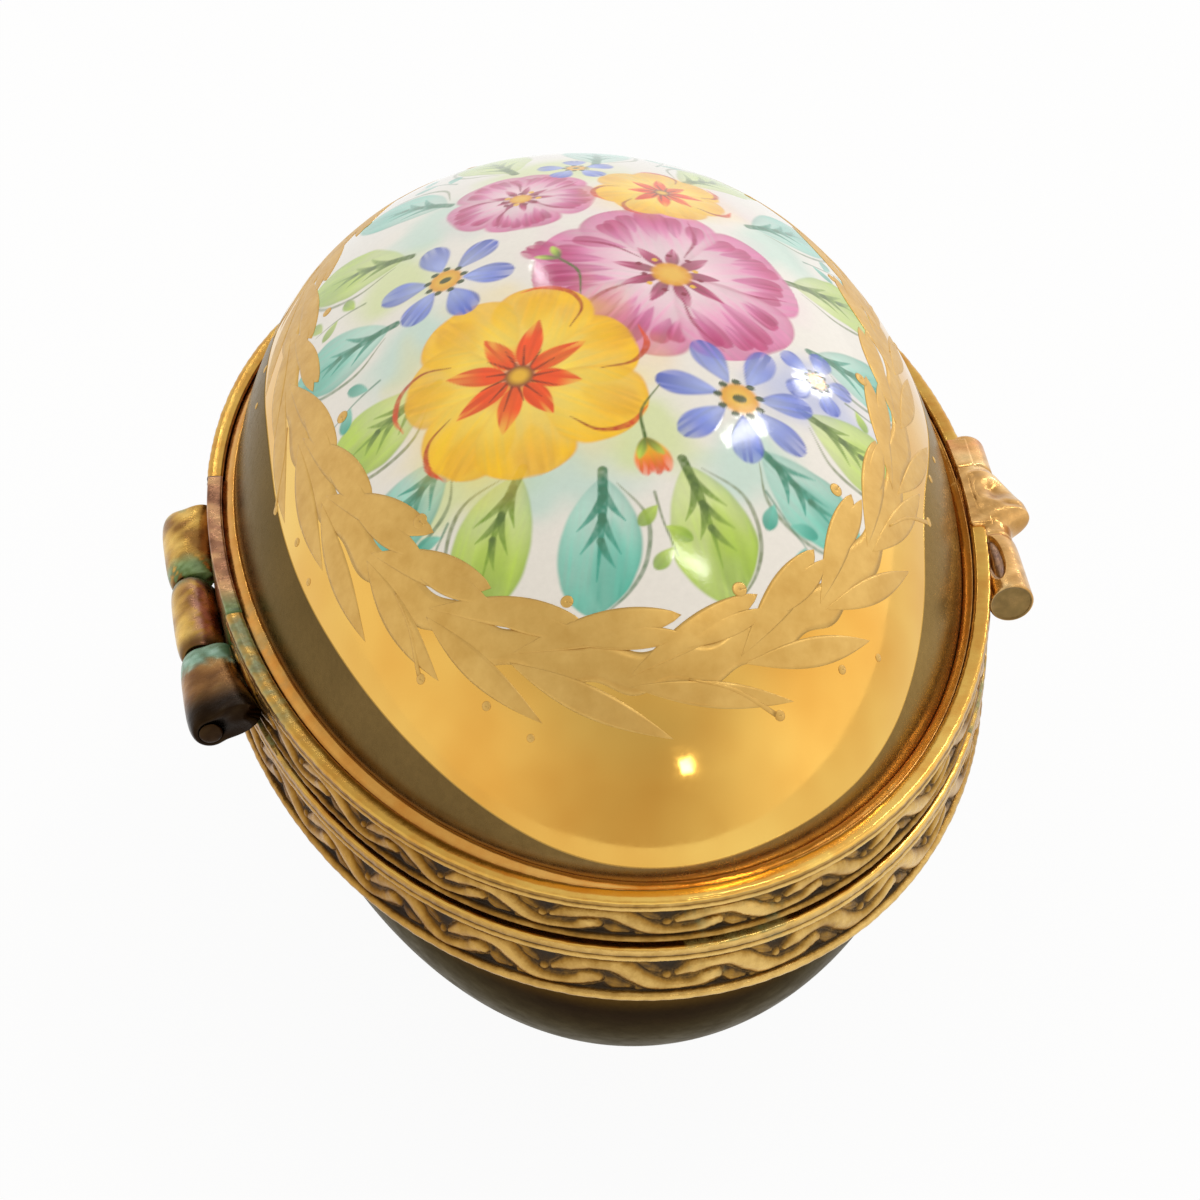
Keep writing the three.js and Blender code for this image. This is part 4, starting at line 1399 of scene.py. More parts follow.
def normals_at(points):
    steps = NORMAL_STEP * np.eye(3)
    slope = [level(points + step) - level(points - step) for step in steps]
    slope = np.stack(slope, -1)
    return slope / np.linalg.norm(slope, axis=-1, keepdims=True)


def laid_on(points, way, lift):
    """Moves points along one way onto the lid's face, then lifts them off the glaze."""
    for _ in range(5):
        here = level(points)
        rate = (level(points + 0.01 * way) - here) / 0.01
        points = points - way * (here / rate)[..., None]
    return points * GLAZE_SHARE + normals_at(points) * np.asarray(lift)[..., None]


def touching(point, toward):
    """The two ways of a flat drawing plane that touches the lid."""
    normal = normals_at(point[None])[0]
    toward = np.asarray(toward, float)
    first = toward - normal * (toward @ normal)
    first /= np.linalg.norm(first)
    return first, np.cross(normal, first), normal


class Skin:
    """The painted face of the lid, as a grid of points squeezed from a square into an oval."""

    def __init__(self):
        reach = math.radians(90 - SKIN_FOOT)
        self.rows = round(2 * reach * HALF_LENGTH / PAINT_STEP)
        self.columns = round(2 * reach * HALF_WIDTH / PAINT_STEP)
        v, u = np.meshgrid(np.linspace(-1, 1, self.rows), np.linspace(-1, 1, self.columns), indexing="ij")
        wide = np.abs(u) > np.abs(v)
        main, side = np.where(wide, u, v), np.where(wide, v, u)
        main = np.where(main == 0, TINY, main)
        turn = math.pi / 4 * side / main
        angle = np.where(wide, turn, math.pi / 2 - turn) + np.where(main < 0, math.pi, 0)
        tilt = np.abs(main) * reach
        x, y = outline(angle)
        points = np.stack([x * np.sin(tilt), y * np.sin(tilt), LID_RISE * np.cos(tilt)], -1)
        self.points = points.reshape(-1, 3)
        self.paint = np.ones((len(self.points), 4))
        self.paint[:] = GLAZE_WHITE
        self.body = np.zeros(len(self.points))

    def finish(self):
        lift = SKIN_LIFT + PAINT_BODY * np.clip(self.body, 0, 1)
        placed_points = self.points * GLAZE_SHARE + normals_at(self.points) * lift[:, None]
        shape = (self.rows, self.columns)
        grid = placed_points.reshape(*shape, 3)
        paint = self.paint.reshape(*shape, 4)
        body = self.body.reshape(shape)
        cuts = np.linspace(0, self.rows - 1, len(SKIN_PARTS) + 1).astype(int)
        for part, start, end in zip(SKIN_PARTS, cuts[:-1], cuts[1:]):
            kept = slice(start, end + 1)
            layers = {"paint": paint[kept].reshape(-1, 4), "body": body[kept].ravel()}
            points = grid[kept].reshape(-1, 3)
            faces = faces_out(points - [0, 0, -100], grid_faces(end + 1 - start, self.columns))
            add_piece(
                f"painting_{part}", placed(points), faces, "lid", "painted_porcelain", enamel,
                layers=layers,
            )


skin = Skin()


class Chart:
    """A flat drawing plane over part of the skin, in millimetres, its first way towards +X."""

    def __init__(self, x, y, reach):
        k = outline_share(np.array(float(x)), np.array(float(y)))
        touch = np.array([x, y, LID_RISE * math.sqrt(1 - k * k)])
        first, second, _ = touching(touch, (1, 0, 0))
        away = skin.points - touch
        self.near = np.flatnonzero((np.abs(away) < reach).all(1))
        away = away[self.near]
        self.a, self.b = away @ first, away @ second

    def lay(self, inside, colors, cover, body):
        """Lays paint on some of the chart's points, each covered by its own share."""
        chosen = self.near[inside]
        skin.paint[chosen] = blended(skin.paint[chosen], colors, cover)
        skin.body[chosen] = np.maximum(skin.body[chosen] * (1 - 0.5 * cover), body * cover)


def out(heading, reach):
    """A place reached from the middle of a chart along a heading in degrees."""
    return along((0, 0), heading, reach)


def along(at, heading, reach, sideways=0.0):
    """A place reached from another along a heading in degrees."""
    c, s = heading_parts(heading)
    return at[0] + reach * c - sideways * s, at[1] + reach * s + sideways * c


def stroke(chart, at, heading, length, width, root, tip, pool=None, widest=0.5, bluntness=0.6, bend=0.0,
           soft=0.16, cover=0.9, streaks=0.3, dry=0.0, fade=0.0, pool_width=0.3):
    """One press of a full brush: from a root along a heading, with bristle streaks and a pooled edge."""
    c, s = heading_parts(heading)
    u = ((chart.a - at[0]) * c + (chart.b - at[1]) * s) / length
    inside = np.flatnonzero((u > 0.001) & (u < 0.999))
    u = u[inside]
    w = -(chart.a[inside] - at[0]) * s + (chart.b[inside] - at[1]) * c - bend * length * u * u
    power = math.log(0.5) / math.log(widest)
    shift = random.uniform(0, 60)
    half = width / 2 * np.sin(math.pi * u ** power) ** bluntness
    half = half * (0.94 + 0.12 * grain(u * length * 0.9 + shift, w * 0 + shift))
    kept = np.abs(w) < half + soft
    inside, u, w, half = inside[kept], u[kept], w[kept], half[kept]
    within = np.minimum(half - np.abs(w), np.minimum(u, 1 - u) * length * 0.9)
    bristles = grain(w / 0.17 + shift, u * length * 0.35 + shift)
    share = eased(within, -soft * 0.4, soft)
    share = share * (1 - dry * eased(u, 0.45, 1.0) * eased(bristles, 0.35, 0.7))
    share = share * (1 - fade * eased(1 - u, 0.35, 1.0))
    color = blended(root, tip, eased(u + 0.25 * (bristles - 0.5), 0.1, 0.9))
    if pool is not None:
        depth = np.exp(-np.clip(within, 0, None) / pool_width) * (0.45 + 0.55 * (w > 0))
        color = blended(color, pool, depth * 0.85)
    cloud = grain(chart.a[inside] * 0.8 + shift, chart.b[inside] * 0.8 + shift)
    color = color * (1 + streaks * (bristles - 0.5) + 0.16 * (cloud - 0.5))[:, None]
    color = np.clip(color, 0, 1)
    color[:, 3] = 1
    chart.lay(inside, color, cover * share * (0.9 + 0.2 * cloud), 0.6)


def wash(chart, at, radius, color, cover, stretch=1.0):
    """A thin wet patch of colour with no edge."""
    far = np.hypot((chart.a - at[0]) / stretch, chart.b - at[1]) / radius
    inside = np.flatnonzero(far < 1.3)
    cloud = grain(chart.a[inside] * 0.7 + 9, chart.b[inside] * 0.7 + 4)
    share = cover * (1 - eased(far[inside] + 0.5 * (cloud - 0.5), 0.35, 1.15))
    chart.lay(inside, np.asarray(color) + np.zeros((len(inside), 1)), share, 0.15)


LINE_SOFTNESS = 0.09 * 0.6
DOT_COVER = 0.95


def line(chart, points, widths, color, end_color=None, steps=30, cover=0.9):
    """A line drawn with a fine brush through a few places, its width changing along it."""
    spine = curve_through(points, steps)
    half = np.interp(np.linspace(0, 1, steps), np.linspace(0, 1, len(widths)), widths) / 2
    margin = half.max() + 0.15
    low, high = spine.min(0) - margin, spine.max(0) + margin
    reached = (chart.a > low[0]) & (chart.a < high[0]) & (chart.b > low[1]) & (chart.b < high[1])
    inside = np.flatnonzero(reached)
    a, b = chart.a[inside], chart.b[inside]
    start, step = spine[:-1], np.diff(spine, axis=0)
    squared = (step ** 2).sum(1)
    t = ((a[:, None] - start[:, 0]) * step[:, 0] + (b[:, None] - start[:, 1]) * step[:, 1]) / squared
    t = np.clip(t, 0, 1)
    away = np.hypot(a[:, None] - start[:, 0] - t * step[:, 0], b[:, None] - start[:, 1] - t * step[:, 1])
    width = half[:-1] * (1 - t) + half[1:] * t
    nearest = (away - width).argmin(1)
    picked = np.arange(len(inside))
    away, width = away[picked, nearest], width[picked, nearest]
    share = eased(width - away, -LINE_SOFTNESS, LINE_SOFTNESS)
    place = (nearest + t[picked, nearest]) / (steps - 1)
    texture = grain(a * 5 + 3, b * 5 + 8)
    color = blended(color, end_color if end_color is not None else color, place)
    chart.lay(inside, color, cover * share * (0.8 + 0.35 * texture), 0.8)


def dot(chart, at, radius, color, rim=None, stretch=1.0):
    far = np.hypot(chart.a - at[0], (chart.b - at[1]) / stretch) / radius
    inside = np.flatnonzero(far < 1.3)
    far = far[inside]
    shade = blended(color, rim if rim is not None else color, eased(far, 0.3, 1.0))
    chart.lay(inside, shade, DOT_COVER * (1 - eased(far, 0.82, 1.12)), 0.9)


# Bouquet: three kinds of flower, buds and leaves, each drawn by its own function

LIME = linear(178, 206, 74)
LIME_PALE = linear(204, 222, 126)
LIME_DEEP = linear(136, 170, 50)
VEIN_GREEN = linear(84, 110, 44)
OLIVE_LINE = linear(126, 136, 92)
TEAL = linear(112, 196, 176)
TEAL_PALE = linear(176, 218, 204)
TEAL_DEEP = linear(52, 162, 140)
TEAL_VEIN = linear(62, 122, 92)
YELLOW = linear(250, 196, 18)
YELLOW_PALE = linear(250, 220, 96)
YELLOW_DEEP = linear(228, 158, 24)
FLAME = linear(238, 82, 22)
BROWN = linear(132, 56, 20)
PINK = linear(216, 116, 168)
PINK_PALE = linear(240, 212, 220)
CRIMSON = linear(184, 44, 108)
WINE = linear(140, 34, 62)
BLUE = linear(92, 112, 206)
BLUE_PALE = linear(158, 172, 224)
BLUE_DEEP = linear(58, 78, 178)
HEART_YELLOW = linear(236, 184, 44)
SEED_GREEN = linear(66, 82, 44)

LEAF_KINDS = {
    "lime": (LIME_PALE, LIME, LIME_DEEP, VEIN_GREEN),
    "teal": (TEAL_PALE, TEAL, TEAL_DEEP, TEAL_VEIN),
}


# Feathered barbs of a leaf: place along the stalk, turn in degrees, reach
BARBS = ((0.1, 30, 0.3), (0.16, -34, 0.3), (0.3, 27, 0.27), (0.33, -30, 0.24), (0.48, 24, 0.2))


def painted_leaf(x, y, heading, length, width, kind, bend):
    """A wet wash of colour, a loose outline beside it, and a thick stalk with feathered barbs."""
    pale, full, deep, vein = LEAF_KINDS[kind]
    chart = Chart(x, y, length * 0.75)
    root = out(heading, -length / 2)
    stroke(
        chart, root, heading, length, width, pale, full, deep, widest=0.56, bluntness=0.62, bend=bend,
        soft=0.17, cover=0.94, streaks=0.2, fade=0.28, pool_width=0.3,
    )
    stroke(
        chart, along(root, heading, length * 0.3, width * 0.1), heading,
        length * 0.66, width * 0.5, full, deep,
        widest=0.6, bend=bend, soft=0.4, cover=0.5, streaks=0.3, dry=0.5,
    )
    side = 1 if bend >= 0 else -1
    edge = [
        along(root, heading, length * u, -side * width * h + bend * length * u * u)
        for u, h in ((0.05, 0.16), (0.3, 0.5), (0.6, 0.54), (0.84, 0.38), (1.03, 0.05))
    ]
    line(chart, edge, (0.04, 0.24, 0.2, 0.04), OLIVE_LINE, vein, cover=0.75)
    stalk = [along(root, heading, length * u, bend * length * u * u) for u in (-0.05, 0.2, 0.45, 0.76)]
    line(chart, stalk, (0.5, 0.52, 0.3, 0.06), vein, deep, cover=0.92)
    for u, turn, reach in BARBS:
        turn += random.uniform(-6, 6)
        start = along(root, heading, length * u, bend * length * u * u)
        middle = along(start, heading + turn * 0.8, length * reach * 0.5)
        tip = along(start, heading + turn, length * reach * random.uniform(0.9, 1.15))
        line(chart, [start, middle, tip], (0.42, 0.34, 0.05), vein, deep, steps=14, cover=0.85)


def spray(x, y, heading, count, kind, size):
    """Small dabbed leaves on a thin stem."""
    _, full, deep, vein = LEAF_KINDS[kind]
    reach = size * count
    chart = Chart(x, y, reach * 1.6)
    stem = [along((0, 0), heading, reach * u, 0.12 * reach * u * u) for u in (0, 0.5, 1)]
    line(chart, stem, (0.16, 0.12, 0.06), vein, cover=0.7)
    for i in range(count):
        place = along((0, 0), heading, size * (i + 0.6), 0.12 * reach * ((i + 0.6) / count) ** 2)
        turn = heading + (52 if i % 2 else -48)
        stroke(chart, place, turn, size * 1.3, size * 0.72, full, deep, widest=0.6, soft=0.12, streaks=0.35)


def yellow_blossom(x, y, radius, turn):
    """A full open blossom: broad petals, loose brown lines round them, a flame-coloured heart."""
    chart = Chart(x, y, radius * 1.3)
    wash(chart, (0, 0), radius * 1.1, YELLOW_PALE, 0.55)
    for i in range(7):
        heading = turn + 360 / 7 * i + random.uniform(-6, 6)
        reach = radius * random.uniform(0.9, 1.06)
        stroke(
            chart, out(heading, radius * 0.1), heading, reach * 0.92, radius * 0.82,
            YELLOW_PALE, YELLOW, YELLOW_DEEP, widest=0.66, bluntness=0.48, streaks=0.14, cover=0.95,
            bend=0.03, soft=0.2, pool_width=0.22,
        )
        stroke(
            chart, out(heading + 8, radius * 0.5), heading + 4, reach * 0.5, radius * 0.36,
            YELLOW, YELLOW_DEEP, widest=0.6, streaks=0.3, cover=0.45, soft=0.4, dry=0.6,
        )
    for i in range(7):
        heading = turn + 360 / 7 * i + 6
        outer = [
            out(heading + spread, radius * share)
            for spread, share in ((-25, 0.62), (-20, 0.86), (-9, 1.0), (4, 1.03), (14, 0.98))
        ]
        if i % 3 != 2:
            line(chart, outer[: 4 + i % 2], (0.04, 0.2, 0.36, 0.05), BROWN, FLAME, cover=0.88)
    for i in range(8):
        heading = turn + 12 + 45 * i
        start = out(heading, radius * 0.1)
        stroke(
            chart, start, heading, radius * random.uniform(0.4, 0.54), radius * 0.2, FLAME, FLAME,
            widest=0.4, bluntness=0.8, soft=0.1, streaks=0.35, cover=0.95, dry=0.7,
        )
    wash(chart, (0, 0), radius * 0.34, FLAME, 0.5)
    for i in range(13):
        heading = turn + 360 / 13 * i
        start = out(heading, radius * 0.12)
        tip = out(heading + 9, radius * random.uniform(0.26, 0.36))
        line(chart, [start, tip], (0.16, 0.05), BROWN, steps=8)
    dot(chart, (0, 0), radius * 0.12, HEART_YELLOW, BROWN)


def pink_rose(x, y, radius, turn):
    """An open wild rose: pale broad petals with deeper strokes drawn in from their edges."""
    chart = Chart(x, y, radius * 1.3)
    wash(chart, (0, 0), radius * 1.1, PINK_PALE, 0.7)
    for i in range(5):
        heading = turn + 72 * i + random.uniform(-5, 5)
        stroke(
            chart, out(heading, radius * 0.06), heading, radius * 0.98, radius * 1.12,
            PINK_PALE, PINK, CRIMSON, widest=0.7, bluntness=0.42, streaks=0.22, cover=0.88, soft=0.22,
            pool_width=0.3,
        )
        for spread in (-24, -16, -8, 1, 9, 17, 25):
            spread += random.uniform(-3, 3)
            start = out(heading + spread, radius * (1.0 - 0.005 * abs(spread)))
            reach = radius * random.uniform(0.3, 0.56)
            stroke(
                chart, start, heading + 180 + spread * 0.5, reach, radius * 0.17, CRIMSON, PINK,
                widest=0.3, bluntness=0.7, streaks=0.35, cover=0.8, soft=0.14, dry=0.8,
            )
        fold = [out(heading + s, radius * r) for s, r in ((-33, 0.3), (-31, 0.62), (-22, 0.93))]
        line(chart, fold, (0.05, 0.26, 0.05), WINE, CRIMSON, cover=0.8)
    for i in range(9):
        heading = turn + 20 + 40 * i
        stroke(
            chart, out(heading, radius * 0.1), heading, radius * random.uniform(0.26, 0.42),
            radius * 0.12, WINE, CRIMSON, widest=0.4, bluntness=0.8, soft=0.1, cover=0.9, dry=0.5,
        )
    dot(chart, (0, 0), radius * 0.16, HEART_YELLOW, YELLOW_DEEP)
    for i in range(11):
        place = out(turn + 360 / 11 * i, radius * random.uniform(0.2, 0.27))
        dot(chart, place, 0.17, WINE if i % 3 else HEART_YELLOW)


def blue_flower(x, y, radius, turn, count):
    """A flower of single-stroke petals about a yellow eye ringed with seeds."""
    chart = Chart(x, y, radius * 1.3)
    for i in range(count):
        heading = turn + 360 / count * i + random.uniform(-6, 6)
        stroke(
            chart, out(heading, radius * 0.26), heading, radius * random.uniform(0.74, 0.86),
            radius * 3.1 / count, BLUE_PALE, BLUE, BLUE_DEEP, widest=0.64, bluntness=0.52, streaks=0.5,
            cover=0.92, soft=0.14, dry=0.35, pool_width=0.16,
        )
    dot(chart, (0, 0), radius * 0.27, HEART_YELLOW, YELLOW_DEEP)
    for i in range(9):
        place = out(turn + 40 * i, radius * 0.29)
        dot(chart, place, 0.05 * radius + 0.05, SEED_GREEN, stretch=0.8)
    dot(chart, (0, 0), radius * 0.1, SEED_GREEN, stretch=0.7)


def bud(x, y, heading, size, color, deep):
    chart = Chart(x, y, size * 2)
    base = out(heading, -size * 0.5)
    for turn in (-16, 14, 0):
        stroke(chart, base, heading + turn, size, size * 0.5, color, deep, widest=0.55, streaks=0.4, dry=0.4)
    for turn in (-30, 26):
        stroke(chart, base, heading + turn, size * 0.6, size * 0.24, VEIN_GREEN, LIME, streaks=0.3)
    stem = [base, along(base, heading + 168, size * 0.7), along(base, heading + 150, size * 1.5)]
    line(chart, stem, (0.2, 0.16, 0.06), VEIN_GREEN)


BOUQUET_LEAVES = (
    # place seen from above, heading, length, width, kind
    (-12.1, -7.4, 200, 7.5, 4.5, "lime"),
    (-11.1, -13.1, 222, 7.1, 4.2, "teal"),
    (-7.4, -17.0, 240, 7.7, 4.5, "lime"),
    (-2.0, -18.9, 264, 7.5, 4.3, "teal"),
    (3.5, -18.5, 284, 7.7, 4.5, "lime"),
    (8.7, -16.0, 308, 7.3, 4.2, "teal"),
    (12.2, -11.5, 330, 7.5, 4.5, "lime"),
    (13.7, -5.3, 352, 7.1, 4.2, "teal"),
    (13.7, 1.7, 12, 7.3, 4.4, "lime"),
    (12.2, 8.4, 35, 7.1, 4.2, "teal"),
    (8.6, 14.0, 56, 7.5, 4.4, "lime"),
    (2.7, 17.5, 80, 7.1, 4.1, "teal"),
    (-3.5, 17.1, 102, 7.5, 4.4, "lime"),
    (-8.8, 13.2, 128, 7.1, 4.1, "teal"),
    (-12.2, 7.5, 150, 7.5, 4.4, "lime"),
    (-13.6, 0.2, 176, 7.1, 4.3, "teal"),
)
SOFT_PATCHES = (
    # place seen from above, radius, colour
    (-9.4, -3.0, 3.6, TEAL_PALE),
    (-8.6, -13.2, 3.4, LIME_PALE),
    (-3.6, -14.8, 3.4, TEAL_PALE),
    (1.2, -13.4, 3.2, LIME_PALE),
    (6.2, -14.6, 3.6, TEAL_PALE),
    (10.2, -8.6, 3.4, BLUE_PALE),
    (10.6, 4.6, 3.6, TEAL_PALE),
    (6.4, 9.4, 3.6, PINK_PALE),
    (-0.6, 13.0, 3.6, LIME_PALE),
    (-7.0, 8.2, 3.8, TEAL_PALE),
    (-10.0, 3.6, 3.4, LIME_PALE),
)
SPRAYS = (
    # place seen from above, heading, leaf count, kind, leaf size
    (-9.2, -15.0, 232, 3, "teal", 1.2),
    (0.8, -16.6, 274, 3, "lime", 1.2),
    (6.4, -16.0, 296, 3, "teal", 1.3),
    (12.0, -8.0, 342, 3, "lime", 1.1),
    (12.2, 4.8, 22, 3, "teal", 1.2),
    (-11.8, 3.6, 162, 3, "lime", 1.2),
    (-11.6, -3.8, 190, 3, "teal", 1.3),
    (-5.8, 14.4, 116, 3, "teal", 1.2),
    (5.6, 14.8, 68, 3, "teal", 1.2),
)


def bouquet():
    for x, y, radius, color in SOFT_PATCHES:
        wash(Chart(x, y, radius * 1.5), (0, 0), radius, color, 0.6, random.uniform(0.8, 1.3))
    for x, y, heading, length, width, kind in BOUQUET_LEAVES:
        painted_leaf(x, y, heading, length, width, kind, bend=random.choice([-0.09, 0.09]))
    for patch in SPRAYS:
        spray(*patch)
    pink_rose(4.0, -1.2, 6.9, 20)
    yellow_blossom(-4.8, -8.2, 6.6, 12)
    blue_flower(6.0, -10.6, 4.0, 10, 7)
    blue_flower(-7.6, 1.6, 3.6, 40, 6)
    blue_flower(10.6, -7.4, 2.3, 0, 5)
    pink_rose(-2.8, 8.6, 4.0, 50)
    yellow_blossom(5.0, 8.8, 3.8, 30)
    bud(-2.4, 1.6, 130, 2.4, PINK, CRIMSON)
    bud(1.0, -14.6, 280, 2.4, YELLOW, FLAME)
    blue_flower(0.8, 13.2, 2.2, 15, 5)
    skin.finish()


bouquet()


# Gilding: the lustre zone, the edge band painted dark as a painted reflection, the garland of matt leaves,
# its dots and tendrils

GOLD_LIFT = 0.011
LEAF_LIFT = 0.0015
SUNK = -0.004
GARLAND_SLOPE = 36.4
GARLAND_PITCH = 5.5
LEAF_LENGTH = 8.4
LEAF_WIDTH = 1.6
BELT_HALF = 2.6
THREAD_STEPS = 12
ZONE_COLUMNS = 960
EDGE_ZONES_FOOT = 1.9
# How high the edge band's painted dark reflection reaches above the seam, by the angle round the egg, in
# degrees from the clasp
EDGE_REFLECTION_LINE = (
    (-180, 9.2), (-165, 8.1), (-155, 7.5), (-145, 7.0), (-135, 6.3), (-125, 5.5), (-115, 4.55), (-105, 3.7),
    (-95, 3.35), (-85, 3.38), (-75, 3.68), (-65, 3.88), (-55, 4.3), (-45, 5.6), (-35, 7.4), (-25, 9.3),
    (-15, 8.9), (-5, 8.1), (10, 7.6), (40, 6.8), (65, 5.0), (90, 4.0), (115, 5.0), (140, 8.4), (180, 9.2),
)


class Gilder:
    """Gathers sheets of gold leaf into one piece."""

    def __init__(self, name):
        self.name = name
        self.points, self.faces, self.flat, self.count = [], [], [], 0

    def sheet(self, angle, slope, a, b, lift):
        """A leaf from a grid of places round a spot on the lid, with an edge that goes down into the gold."""
        touch = on_shell(np.array([angle]), [slope], LID_RISE)[0, 0]
        ahead = on_shell(np.array([angle + 0.01]), [slope], LID_RISE)[0, 0]
        first, second, normal = touching(touch, ahead - touch)
        a, b, lift = (np.pad(part, 1, mode="edge") for part in (a, b, lift))
        lift[[0, -1]] = SUNK
        lift[:, [0, -1]] = SUNK
        flat = touch + a[..., None] * first + b[..., None] * second
        points = laid_on(flat, normal, lift).reshape(-1, 3)
        rows, columns = a.shape
        skirt = np.ones((rows - 1, columns - 1), bool)
        skirt[1:-1, 1:-1] = False
        self.faces.append(faces_out(points, grid_faces(rows, columns)) + self.count)
        self.points.append(points)
        self.flat.append(skirt.ravel())
        self.count += len(points)

    def leaf(self, angle, slope, at, heading, length, width, layer, widest, bluntness, bend):
        """A lance-shaped leaf from its root along a heading, swelling a little along its middle."""
        u, v = np.linspace(0, 1, 22)[:, None], np.linspace(-1, 1, 9)[None]
        power = math.log(0.5) / math.log(widest)
        half = width / 2 * np.sin(math.pi * np.clip(u, 1e-6, 1 - 1e-6) ** power) ** bluntness
        c, s = heading_parts(heading)
        forward, aside = u * length + 0 * v, half * v + bend * length * u ** 2
        a, b = at[0] + forward * c - aside * s, at[1] + forward * s + aside * c
        arch = 0.012 * (1 - v ** 2) * np.sin(math.pi * u)
        self.sheet(angle, slope, a, b, GOLD_LIFT + LEAF_LIFT * layer + arch)

    def bead(self, angle, slope, at, radius, rise=0.03):
        turn, reach = np.linspace(0, 2 * math.pi, 21)[None], np.array([0.02, 0.45, 0.8, 1.0])[:, None]
        a, b = at[0] + radius * reach * np.cos(turn), at[1] + radius * reach * np.sin(turn)
        self.sheet(angle, slope, a, b, GOLD_LIFT + LEAF_LIFT * 8 + rise * (1 - reach ** 2) + 0 * turn)

    def thread(self, angle, slope, points, widths):
        spine = curve_through(points, THREAD_STEPS)
        ahead = np.gradient(spine, axis=0)
        ahead /= np.linalg.norm(ahead, axis=1, keepdims=True)
        places = np.linspace(0, 1, THREAD_STEPS)
        half = np.interp(places, np.linspace(0, 1, len(widths)), widths) / 2
        v = np.linspace(-1, 1, 5)[None]
        a = spine[:, :1] - ahead[:, 1:] * half[:, None] * v
        b = spine[:, 1:] + ahead[:, :1] * half[:, None] * v
        self.sheet(angle, slope, a, b, GOLD_LIFT + LEAF_LIFT * 10 + 0.02 * (1 - v ** 2) + 0 * a)

    def finish(self):
        piece = add_piece(
            self.name, placed(np.concatenate(self.points)), np.concatenate(self.faces), "lid",
            "gilded_porcelain", matt_gold,
        )
        piece.data.polygons.foreach_set("use_smooth", ~np.concatenate(self.flat))


def zone(name, low_slope, top_slope, material, lift, rows=40):
    angles = full_turn(ZONE_COLUMNS)
    share = np.linspace(0, 1, rows)[:, None]
    slopes = low_slope(angles)[None] * (1 - share) + top_slope(angles)[None] * share
    slopes = np.vstack([slopes[:1], slopes, slopes[-1:]])
    lifts = np.full(slopes.shape, lift)
    lifts[[0, -1]] = SUNK
    points = on_shell(angles, slopes, LID_RISE)
    lifted = points * GLAZE_SHARE + normals_at(points) * lifts[..., None]
    climb = np.clip((slopes - slopes[0]) / (slopes[-1] - slopes[0]), 0, 1)
    gilt = (1 - climb) * (slopes[-1] - slopes[0]) * LID_RISE
    above_foot = climb * (slopes[-1] - slopes[0]) * LID_RISE
    layers = {"below_top": gilt.ravel(), "above_foot": above_foot.ravel()}
    add_rows(name, lifted, "lid", "gilded_porcelain", material, layers=layers)


def edge_foot(angles):
    return np.full(len(angles), math.asin(EDGE_ZONES_FOOT / LID_RISE))


def lustre_top(angles):
    return np.radians(GARLAND_SLOPE + 0.8 + 0.6 * np.sin(angles * 23) + 0.4 * np.sin(angles * 11 + 1))


def edge_reflection_top(angles):
    """The edge band's painted dark reflection is a narrow line at both ends of the egg and climbs high along
    its sides.
    """
    return np.arcsin(by_angle(EDGE_REFLECTION_LINE, angles) / LID_RISE)


def belt_foot(angles):
    return np.radians(GARLAND_SLOPE - BELT_HALF + 0.7 * np.sin(angles * 28 + 1))


def belt_top(angles):
    return np.radians(GARLAND_SLOPE + BELT_HALF * 0.9 + 0.5 * np.sin(angles * 28))


def garland():
    leaves, beads = Gilder("garland_leaves"), Gilder("garland_dots")
    fine = np.linspace(0, 2 * math.pi, 2001)
    x, y = outline(fine)
    course = run(np.hypot(np.diff(x), np.diff(y))) * math.cos(math.radians(GARLAND_SLOPE))
    count = round(course[-1] / GARLAND_PITCH)
    for i in range(count):
        angle = np.interp(course[-1] * (i + 0.5) / count, course, fine)
        spot = angle, math.radians(GARLAND_SLOPE + random.uniform(-0.5, 0.5))
        length = LEAF_LENGTH * random.uniform(0.88, 1.12)
        width = LEAF_WIDTH * random.uniform(0.85, 1.15)
        inner, outer = 19 + random.uniform(-4, 4), -21 + random.uniform(-4, 4)
        leaves.leaf(
            *spot, (-length * 0.5, -0.2), outer, length * 1.02, width * 0.88, 2 + i % 3, 0.5, 0.95, 0.06,
        )
        leaves.leaf(*spot, (-length * 0.5, 0.2), inner, length * 0.98, width, 5 + i % 3, 0.6, 0.72, -0.05)
        middle = inner * 0.45
        leaves.leaf(*spot, (-length * 0.2, 0.9), middle, length * 0.7, width * 0.7, 8, 0.55, 0.85, 0.0)
        if i % 2 == 0:
            beads.bead(*spot, (2.6, 3.1 + random.uniform(-0.2, 0.3)), random.uniform(0.3, 0.42))
        if i % 3 == 0:
            leaves.thread(*spot, [(-1.2, -0.6), (0.8, -1.6), (2.6, -3.2)], (0.1, 0.18, 0.26))
            beads.bead(*spot, (2.8, -3.3), 0.27, 0.05)
        if i % 3 == 1:
            beads.bead(*spot, (0.9, -3.1), 0.24, 0.05)
            beads.bead(*spot, (3.6, -3.7), 0.2, 0.05)
    leaves.finish()
    beads.finish()


zone("lid_gold_lustre", edge_foot, lustre_top, lustre, GOLD_LIFT)
# The dark edge band over the lustre is a painted reflection of dark surroundings, narrow at the ends and high
# on the sides
zone("lid_edge_painted_reflection", edge_foot, edge_reflection_top, edge_reflection_paint, GOLD_LIFT + 2 * LEAF_LIFT)
zone("garland_belt", belt_foot, belt_top, matt_gold, GOLD_LIFT + LEAF_LIFT, rows=6)
garland()


# Stage and light: a pale floor, a soft pale surround and softboxes placed by what the glaze mirrors

STAGE_RADIUS = 3.0
BACKDROP_SHARE = 0.94
FLOOR_SIDES = 64
WHITE = (1, 1, 1, 1)


